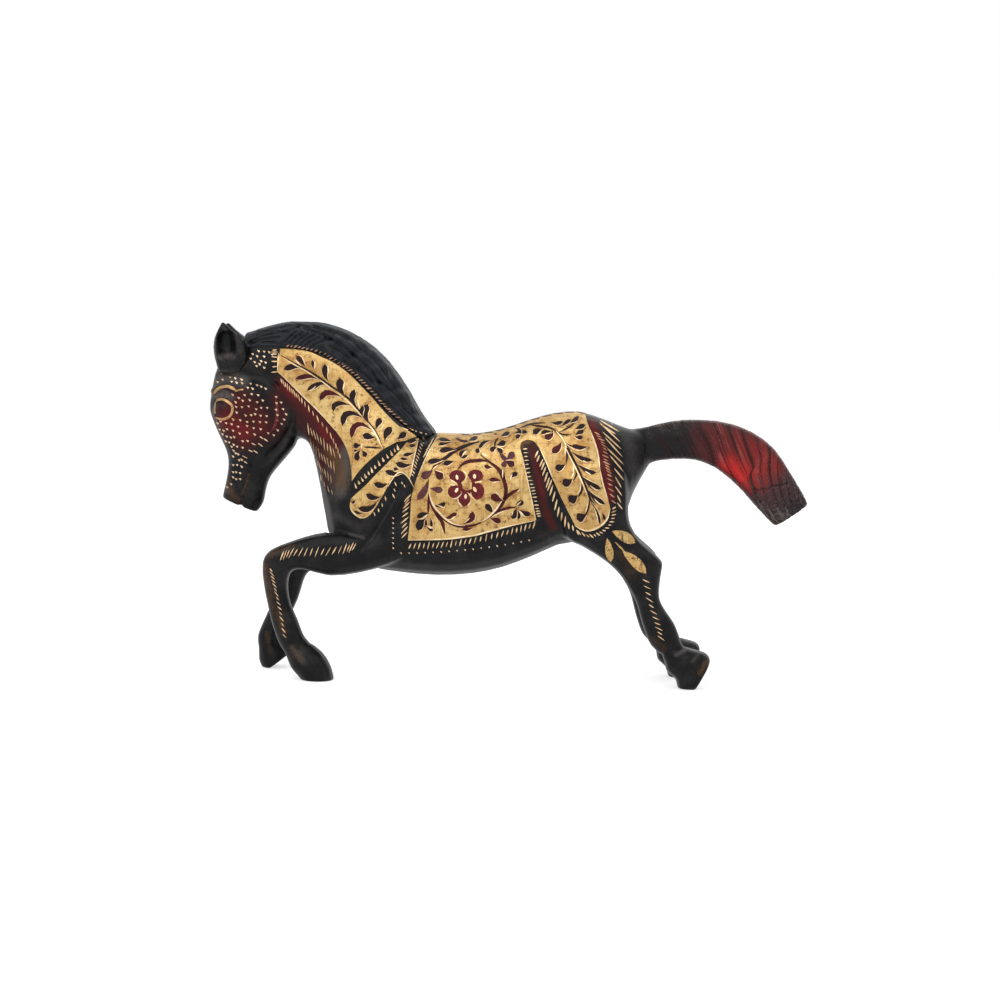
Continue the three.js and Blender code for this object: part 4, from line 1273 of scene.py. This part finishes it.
# Painted highlights along one side of the stems, vines and rosette cuts, partly the bright cut brass itself
CUT_HIGHLIGHTS = [
    (1.7, (429, 488), (430, 496), (433, 504.5), (438, 511), (444, 517.5), (451, 522.5), (458, 525),
     (465, 525.5)),
    (1.8, (481, 522), (487, 518), (495, 510.5), (502, 501)), (1.0, (491, 517.5), (500, 512.5), (508, 510)),
    (1.0, (284, 358.5), (294, 364.5), (306, 371), (318, 379)), (1.2, (320, 380), (328, 386), (333, 390)),
    (1.1, (338, 393), (348, 401.5), (356, 409.5), (364, 419)),
    (1.5, (368, 423), (375, 433), (379, 441), (383, 449)), (1.0, (296, 360), (301, 366)),
    (1.0, (315, 362), (315, 369)), (1.1, (328, 366), (328.5, 374)), (1.1, (344.5, 382), (343, 390)),
    (1.0, (308.5, 391.5), (313, 389), (316, 386)), (1.0, (357, 399), (360, 409)),
    (1.1, (363, 443), (361.5, 446), (362, 449)), (1.0, (347, 420), (346, 424)),
    (1.0, (384, 424), (381, 430)), (1.0, (371, 432), (376, 436)),
    (1.2, (556, 431), (563, 439.5), (567, 448)),
    (1.3, (565, 447), (571, 459), (577, 471), (582, 482), (586.5, 493), (589, 500)),
    (1.4, (565.5, 446), (565.5, 451), (565, 456)), (1.0, (573, 466), (573.5, 473), (571.5, 479)),
    (1.1, (581, 483), (580, 490), (577, 494)), (1.1, (588.5, 501), (586.5, 509), (585.5, 513)),
    (1.0, (594, 507), (596.5, 515), (598.5, 523)), (1.0, (583, 460.5), (587, 463)),
    (1.0, (585, 471.5), (591, 475)), (1.1, (590, 485.5), (595, 489.5), (600, 490.5)),
    (1.1, (594, 498.5), (599, 503.5), (603.5, 505)), (1.5, (462.6, 470), (466.4, 474.5), (465.6, 480)),
    (1.3, (450, 479.4), (457, 484)), (1.1, (450, 485), (455.6, 485.2)),
    (1.4, (474.6, 482.3), (482.4, 481.8)), (1.3, (467.6, 492.6), (475.4, 500.4)),
    (1.1, (462, 493.4), (457, 498), (451, 499)), (1.3, (458, 497.6), (458.4, 502), (462.4, 506.6)),
    (1.1, (471.4, 501.6), (467.4, 505.6)), (1.2, (512, 474), (510, 480)), (1.2, (516, 506), (521, 501.5)),
    (1.4, (519, 510.5), (524, 516)), (1.0, (513, 511), (511.5, 516)), (1.0, (464, 523), (470, 518)),
    (1.2, (451, 519), (456, 516)), (1.2, (419, 519.5), (424, 518), (428, 514)),
    (1.4, (427.5, 526), (432, 528.5)), (1.2, (481.5, 453), (488, 457)), (1.0, (462, 456), (466, 451)),
    (1.0, (495, 491), (499, 495)), (1.0, (517, 492), (520.5, 489)), (1.2, (470, 442.5), (478, 441)),
    (1.0, (492, 482.5), (497, 482)), (1.0, (432, 470), (438, 465)), (1.0, (440, 447), (447, 446)),
    (1.0, (437, 505), (445, 508)), (1.1, (503, 467), (502.5, 478)),
]

# The scroll along the spine isn't in the photograph. It is drawn from above in millimetres.
SPINE_STEM = [
    (2.4, (-18, 0.6), (-12, -0.8), (-5, 0.8), (2, -0.8), (9, 0.8), (16, -0.8), (22, 0.8), (26, 0)),
]
SPINE_LEAVES = [
    (4.6, (x, 0), (x + 0.8, 2.2 * side), (x + 3.2, 4.2 * side)) for x in range(-17, 24, 4) for side in (-1, 1)
]

ON_BRASS = [
    ("neck_leaves", lines(NECK_STEM) + leaves(NECK_LEAVES), dark_lac, "black_lacquer"),
    ("neck_maroon_leaves", leaves(NECK_MAROON), maroon_lac, "maroon_lacquer"),
    ("tongue_leaves", leaves(TONGUE_LEAVES), dark_lac, "black_lacquer"),
    ("saddle_leaves", lines(SADDLE_STEMS) + leaves(SADDLE_DARK), dark_lac, "black_lacquer"),
    ("saddle_vine", lines(VINES) + leaves(SADDLE_MAROON), maroon_lac, "maroon_lacquer"),
    ("rosette_petals", leaves(ROSETTE_PETALS, BUD_SHAPE), crimson_lac, "maroon_lacquer"),
    ("plum_flowers", leaves(SADDLE_PLUM), plum_lac, "maroon_lacquer"),
    ("haunch_leaves", lines(HAUNCH_STEMS) + leaves(HAUNCH_LEAVES), dark_lac, "black_lacquer"),
]
for layer, (name, drawing, finish, slot) in enumerate(ON_BRASS):
    lay(drawing, name, LAC_RISE + layer * LAYER_STEP, finish, slot, on_brass=True)
lay(
    lines(SPINE_STEM, placed=in_mm) + leaves(SPINE_LEAVES, placed=in_mm), "spine_leaves", LAC_RISE, dark_lac,
    "black_lacquer", onto=TOP, mirrored=False, on_brass=True,
)
# Painted highlight lines in pale cut brass
lay(
    lines(EDGE_HIGHLIGHTS) + lines(CUT_HIGHLIGHTS) + leaves(PETAL_HIGHLIGHTS, BUD_SHAPE), "painted_highlight_edges", EDGE_RISE,
    pale_cut, "bare_brass",
)
# Painted highlights beside the leaves, in bright cut brass
lay(
    glints(NECK_LEAVES + NECK_MAROON + TONGUE_LEAVES + SADDLE_DARK + SADDLE_MAROON + HAUNCH_LEAVES, 0.8),
    "leaf_glints", GLINT_RISE, bright_cut, "bare_brass",
)

# The brass is darker round the leaves, and painted shade darkens it along these bands, such as the top of the
# neck and the haunch
PAINTED_SHADE_BANDS = [
    ([(284, 354), (300, 364), (318, 372)], 16, 0.75), ([(584, 524), (598, 520)], 12, 0.6),
    ([(440, 440), (470, 440)], 8, 0.4), ([(346, 452), (352, 470)], 7, 0.6),
    ([(416, 500), (413, 530)], 6, 0.5), ([(556, 446), (572, 478), (590, 512)], 18, 0.4),
]
leaf_tree = tree_of(leaf_places)
for piece in brass_panels:
    away = np.array([leaf_tree.find(place)[2] for place in points_of(piece)])
    mark(piece, "near_leaf", np.exp(-(away / STAIN_REACH) ** 2))
    mark(piece, "tarnish", near_lines(pixels(points_of(piece)), PAINTED_SHADE_BANDS))

# Cuts and punched dots on the lacquer

FACE_DOTS = [
    (221.5, 374), (230, 377), (235, 378), (222.5, 379.5), (241.5, 379.5), (217.5, 382), (231.5, 381.5),
    (236.5, 382.5), (242, 383), (250.5, 383.5), (247.5, 387.5), (252.5, 388.5), (257, 385), (261, 386.5),
    (265.5, 388.5), (232.5, 394.5), (244.5, 395), (251.5, 394), (258, 395), (276, 396.8), (238.5, 397.8),
    (242.5, 400.5), (249.5, 400), (257, 402), (262.5, 400.3), (235.5, 402), (276.5, 403), (281, 402.3),
    (236, 406.7), (241.8, 407), (248.5, 406.3), (256, 409), (261, 407.7), (267, 407.7), (276, 409.5),
    (283, 409), (236.5, 412.3), (245.5, 415.3), (251, 415), (255, 414), (260.5, 415.5), (266.5, 416),
    (277.3, 415), (286, 414), (233, 419.3), (240, 420), (247, 421.8), (253.3, 421.5), (259.8, 422),
    (266, 422.2), (277, 420.5), (284, 419.3), (220.5, 421.5), (217.5, 423), (226, 423), (231.5, 424),
    (238, 426.5), (247, 425.8), (253.5, 428), (260.5, 429), (281.5, 423.8), (277.5, 430), (227, 429),
    (233, 430.5), (223.5, 430.5), (219.5, 429.5), (222.5, 434), (226.7, 436.3), (234, 436.8),
    (230.7, 437.3), (239.5, 433.3), (247, 432.3), (254.5, 434.3), (268, 433), (273.5, 435), (242.5, 441),
    (247.5, 440.8), (225.5, 441), (229, 442.3), (233.5, 444.5), (237, 446.5), (242.5, 447.5),
    (231.5, 446.5), (233.5, 450.5), (235.5, 453), (238, 454), (233, 456.3), (239, 460), (241.5, 459.5),
    (233, 464.8), (237, 464.8), (241.5, 466.5), (233, 472), (236, 472), (240, 473), (233, 477), (236, 479),
    (240, 479), (227, 487), (231, 484), (252.5, 354), (258.5, 351), (264, 351.5), (269, 352), (272, 354.5),
    (250.5, 358.5), (257, 356), (264, 356.5), (254.5, 362), (261, 361), (265.5, 362.5), (259.5, 364),
    (256.5, 366), (264, 367.5),
]
FACE_DASHES = [
    (1.2, (259.5, 436.3), (263.5, 439)), (1.2, (263.5, 438.3), (268, 441.5)),
    (1.1, (251.3, 443), (256, 445.2)), (1.1, (257.8, 443), (263, 446.6)), (1.1, (248.3, 449.8), (253, 452)),
    (1.1, (253.2, 450.2), (258, 453.2)), (0.9, (242, 455.5), (247.5, 458.3)),
    (0.9, (243.5, 461), (247.5, 463.5)),
]
BELLY_DOTS = [(401 + 8 * i, 553 - 0.05 * i * i) for i in range(17)] + [(393, 518 + 5 * i) for i in range(7)]
HATCHING = [
    hatch([(407.5, 498), (406, 508), (404.5, 522), (404.5, 535)], 9, (7, -6.5), width=1.4),
    hatch([(410, 546), (440, 545), (470, 541), (505, 533), (534, 525)], 27, (2.5, -7), (1.6, -7), width=1.15),
    hatch([(525, 449), (526.5, 461), (528.5, 474), (532, 486), (534.5, 496), (537, 508), (539, 516)], 20,
          (4.8, -0.4), width=1.25),
    leaves([(1.5, (x0, y0), (x1, y1)) for x0, y0, x1, y1 in [
        (538.2, 450.5, 534.8, 458), (539.4, 455, 536.8, 462), (543, 459, 539.6, 467),
        (544.4, 462, 541.2, 470.5), (545.8, 466.5, 542.4, 476), (547.6, 472, 544.6, 482),
        (549.6, 477, 546, 488), (552, 479, 547.4, 491), (553, 484.5, 549.6, 496), (555.2, 491, 552.4, 502),
        (557.2, 499, 554.6, 510.5), (559.2, 506.5, 557.4, 517), (562, 512, 561.2, 521.5),
        (565.8, 515.5, 564.6, 527.5), (568.2, 522, 569.2, 529.5), (572.4, 525, 573.6, 531),
        (576.6, 529.5, 578.6, 535),
    ]], BUD_SHAPE),
    hatch([(614, 508), (613.5, 516), (610.5, 524), (604, 530.5), (597, 534.5), (589, 536), (579, 532.5)], 15,
          (5, -2.5), (3.5, 5.2), width=1.25),
    hatch([(423.5, 438.5), (419.5, 451), (416, 463), (412.5, 475)], 13, (2.8, 3.6), width=0.9),
    hatch([(432.5, 440), (428.5, 447.5), (424.5, 455.5)], 8, (-3.6, 3.8), width=0.9),
    hatch([(397.7, 447.3), (391.3, 453), (383, 459.5), (375, 466.8), (368.5, 472.8), (362, 479),
           (355.5, 485.5)], 13, (1.8, 4.7), width=1.7, shape=WEDGE_SHAPE),
    hatch([(408, 427), (414, 430.5), (426, 434)], 6, (2.6, 0.9), width=1.1),
    hatch([(281.5, 381), (292, 391), (305, 404), (327, 430)], 16, (1.3, 7), width=1.05),
    hatch([(308.4, 429), (321, 441), (334, 453)], 9, (2, 11), width=0.85),
    hatch([(311, 443), (322, 457), (334, 467)], 9, (2, 11), width=0.8),
    hatch([(315, 459), (322.5, 470), (331, 479)], 7, (2, 10), width=0.75),
    hatch([(321, 478), (326.5, 487), (332, 492)], 4, (1.2, 7), width=0.8),
    hatch([(331, 436), (336, 446), (340, 456)], 5, (1.2, 7), width=0.85),
    hatch([(274.5, 350), (274.5, 357), (274.5, 372)], 7, (6.5, 0), width=1.2),
    hatch([(395.5, 484), (394.5, 490), (393.5, 496)], 3, (1.8, 4.5), width=1.1),
    hatch([(385.5, 498.5), (380.5, 508), (374.5, 514)], 4, (1, 4.5), width=1.1),
    hatch([(402, 483), (404.5, 486)], 2, (1.2, 3.5), width=1.0),
    hatch([(646, 581), (650, 602), (657, 622), (661, 638)], 11, (7, 4), width=1.0),
    leaves([(1.3, (x0, y0), (x1, y1)) for x0, y0, x1, y1 in [
        (600, 418.5, 613, 424.5), (599.5, 420, 619.5, 432), (600, 424, 616, 434.5), (599, 422, 620.5, 442.5),
        (602, 431.5, 621.5, 449.5), (604.5, 437, 622.5, 457), (606.5, 447.5, 624, 465),
        (609.5, 455, 624.5, 473), (614, 468, 624, 480.5), (615, 476.5, 621.5, 488), (615, 486, 622, 496),
        (617, 495, 621, 503), (617, 502.5, 622.5, 509.5),
    ]], BUD_SHAPE),
]
BAND_CUTS = [
    hatch([(597, 433.5), (602, 441.3), (605, 449.5), (605.7, 459), (607.5, 467), (609.5, 475),
           (610.3, 486.7), (613.5, 501.7)], 19, (6.4, 3), (6, 4), width=1.3),
    hatch([(287.8, 345.8), (297, 346.8), (306.3, 348.8), (316.5, 351.2), (326.4, 355.4), (334, 360.4)], 13,
          (2.8, -1.9), (4.6, -2.4), width=1.15),
    hatch([(338.5, 363), (347.5, 368.6), (357, 376.6), (366, 385), (375, 395), (384, 405), (393, 413.4),
           (404.5, 423.6)], 24, (4.8, -1.8), (5.6, 1.1), width=1.1),
]
LEFT_FORELEG_CUTS = [
    hatch([(282, 556), (292, 553), (308, 552), (326, 551.5), (344, 549), (354, 547)], 17, (4.5, -9.5),
          width=0.95),
    hatch([(271, 570), (275, 588), (280, 610), (284.5, 636)], 15, (4.2, 4.5), width=0.9),
]
RIGHT_FORELEG_CUTS = [
    hatch([(-70.6, 40), (-62.5, 41.8), (-54.4, 43)], 14, (-1.6, 3.3), placed=in_mm, width=0.95),
    hatch([(-76.8, 32.3), (-78.4, 25.9), (-81, 19.6), (-84, 13.2)], 14, (1.4, -1.5), placed=in_mm, width=0.9),
]
EYE_LINES = [
    (2.4, (215.4, 403), (218, 399.8), (224, 399.8), (231, 404.4), (232.4, 409), (231, 414.4), (227, 418),
     (221, 419.2), (215.4, 417.4)),
    (1.6, (215.4, 402), (214.8, 408), (215.2, 414)),
    (2.8, (213.6, 394), (216.6, 390), (221, 387.2), (227, 386.5), (231, 387.5), (235.4, 390)),
    (1.3, (235, 391.4), (239, 390), (243.6, 389.4)),
]
GASKIN_LEAVES = [
    (7.6, (607, 538), (609, 549), (611, 561.5)), (9.6, (612, 531), (622, 535.5), (635, 543)),
    (9.8, (622.5, 551), (634, 560.5), (646, 573.5)),
]

lay(all_of(HATCHING), "hatching_cuts", CUT_RISE, bright_cut, "bare_brass")
lay(all_of(LEFT_FORELEG_CUTS), "left_foreleg_cuts", CUT_RISE, bright_cut, "bare_brass", mirrored=False)
lay(
    all_of(RIGHT_FORELEG_CUTS), "right_foreleg_cuts", CUT_RISE, bright_cut, "bare_brass",
    onto=FAR_SIDE, mirrored=False,
)
lay(all_of(BAND_CUTS), "band_cuts", CUT_RISE, dim_cut, "bare_brass")
lay(
    dots(FACE_DOTS, 1.65) + dots(BELLY_DOTS, 1.2) + leaves(FACE_DASHES, BUD_SHAPE),
    "punched_dots", CUT_RISE, dot_cut, "bare_brass",
)
lay(lines(EYE_LINES, 0.08), "eye_and_brow_lines", CUT_RISE, tan_cut, "bare_brass")
lay(
    leaves(GASKIN_LEAVES, swelling(LEAF_SPANS, 1.25, 0.6)) + lines([(1.4, (615, 542), (625, 552))]),
    "gaskin_leaves", GASKIN_RISE, rubbed_gold, "bare_brass",
)
lay(
    leaves([(11, (216.5, 409.5), (223, 409.5), (230.5, 410))], BUD_SHAPE),
    "eye_centres", CUT_RISE, maroon_lac, "maroon_lacquer",
)
lay(
    leaves([(3.0, (275.5, 398), (276.8, 406), (277.2, 414), (276, 422), (273.5, 428), (270.5, 432.5))],
           BUD_SHAPE),
    "cheek_crescents", CUT_RISE, red_brown_lac, "maroon_lacquer",
)
lay(
    leaves([(8, (213.4, 396.8), (221, 393.4), (231.5, 396))], BUD_SHAPE),
    "eyelids", CUT_RISE, lid_lac, "maroon_lacquer",
)
for made_from, _, _ in BLANKS.values():
    bpy.data.meshes.remove(made_from.data)
bpy.data.meshes.remove(outer_skin.data)

# Studio: white floor and room, one broad lamp over the near side and a weaker one behind


def floor_finish():
    f = Finish("white_floor", Roughness=0.8, Emission_Strength=0.56)
    paper = f.noise(40, 2)
    seen = f.node('ShaderNodeLightPath', {}, {}, 'Is Camera Ray')
    glossy = f.node('ShaderNodeLightPath', {}, {}, 'Is Glossy Ray')
    through = f.node('ShaderNodeLightPath', {}, {}, 'Is Transmission Ray')
    white = f.mix(colour(0, 0, 0), colour(1, 1, 1), seen + glossy + through)
    return f.done(
        Base_Color=f.mix(colour(0.80, 0.80, 0.80), colour(0.82, 0.82, 0.82), paper),
        Emission_Color=white,
    )


bpy.ops.mesh.primitive_plane_add(size=6, location=(0, 0, 0))
floor = bpy.context.object
floor.name = "studio_floor"
floor.data.materials.append(floor_finish())

# How strongly the room lights the horse. It is seen at full white.
ROOM_LIGHT = 0.55

world = bpy.data.worlds.new("white_room")
bpy.context.scene.world = world
world.use_nodes = True
backdrop = world.node_tree.nodes["Background"]
path = world.node_tree.nodes.new('ShaderNodeLightPath')


def world_sum(operation, first, second):
    made = world.node_tree.nodes.new('ShaderNodeMath')
    made.operation = operation
    for socket, value in zip(made.inputs, (first, second)):
        if isinstance(value, float):
            socket.default_value = value
        else:
            world.node_tree.links.new(value, socket)
    return made.outputs[0]


shown = world_sum('ADD', path.outputs['Is Camera Ray'], path.outputs['Is Glossy Ray'])
shown = world_sum('MINIMUM', world_sum('ADD', shown, path.outputs['Is Transmission Ray']), 1.0)
room = world_sum('ADD', world_sum('MULTIPLY', shown, 1 - ROOM_LIGHT), ROOM_LIGHT)
world.node_tree.links.new(room, backdrop.inputs['Strength'])
backdrop.inputs['Color'].default_value = (1, 1, 1, 1)


def lamp(name, at, size, energy):
    light = bpy.data.lights.new(name, 'AREA')
    light.size = size
    light.energy = energy
    obj = new_object(name, light)
    obj.location = at
    obj.rotation_mode = 'QUATERNION'
    obj.rotation_quaternion = (AIM - Vector(at)).to_track_quat('-Z', 'Y')


lamp("broad_lamp", (-0.25, -0.55, 0.75), size=0.9, energy=3.4)
lamp("back_lamp", (0.35, 0.5, 0.6), size=0.9, energy=1.6)

camera = bpy.data.cameras.new("photograph_camera")
camera.sensor_width = SENSOR
camera.lens = SENSOR * FOCAL / IMAGE
camera.clip_start = 10 * MM
viewer = new_object("photograph_camera", camera)
viewer.rotation_mode = 'QUATERNION'
viewer.location = eye
viewer.rotation_quaternion = Matrix((right, up, -forward)).transposed().to_quaternion()
bpy.context.scene.camera = viewer
bpy.context.scene.view_settings.view_transform = 'Standard'
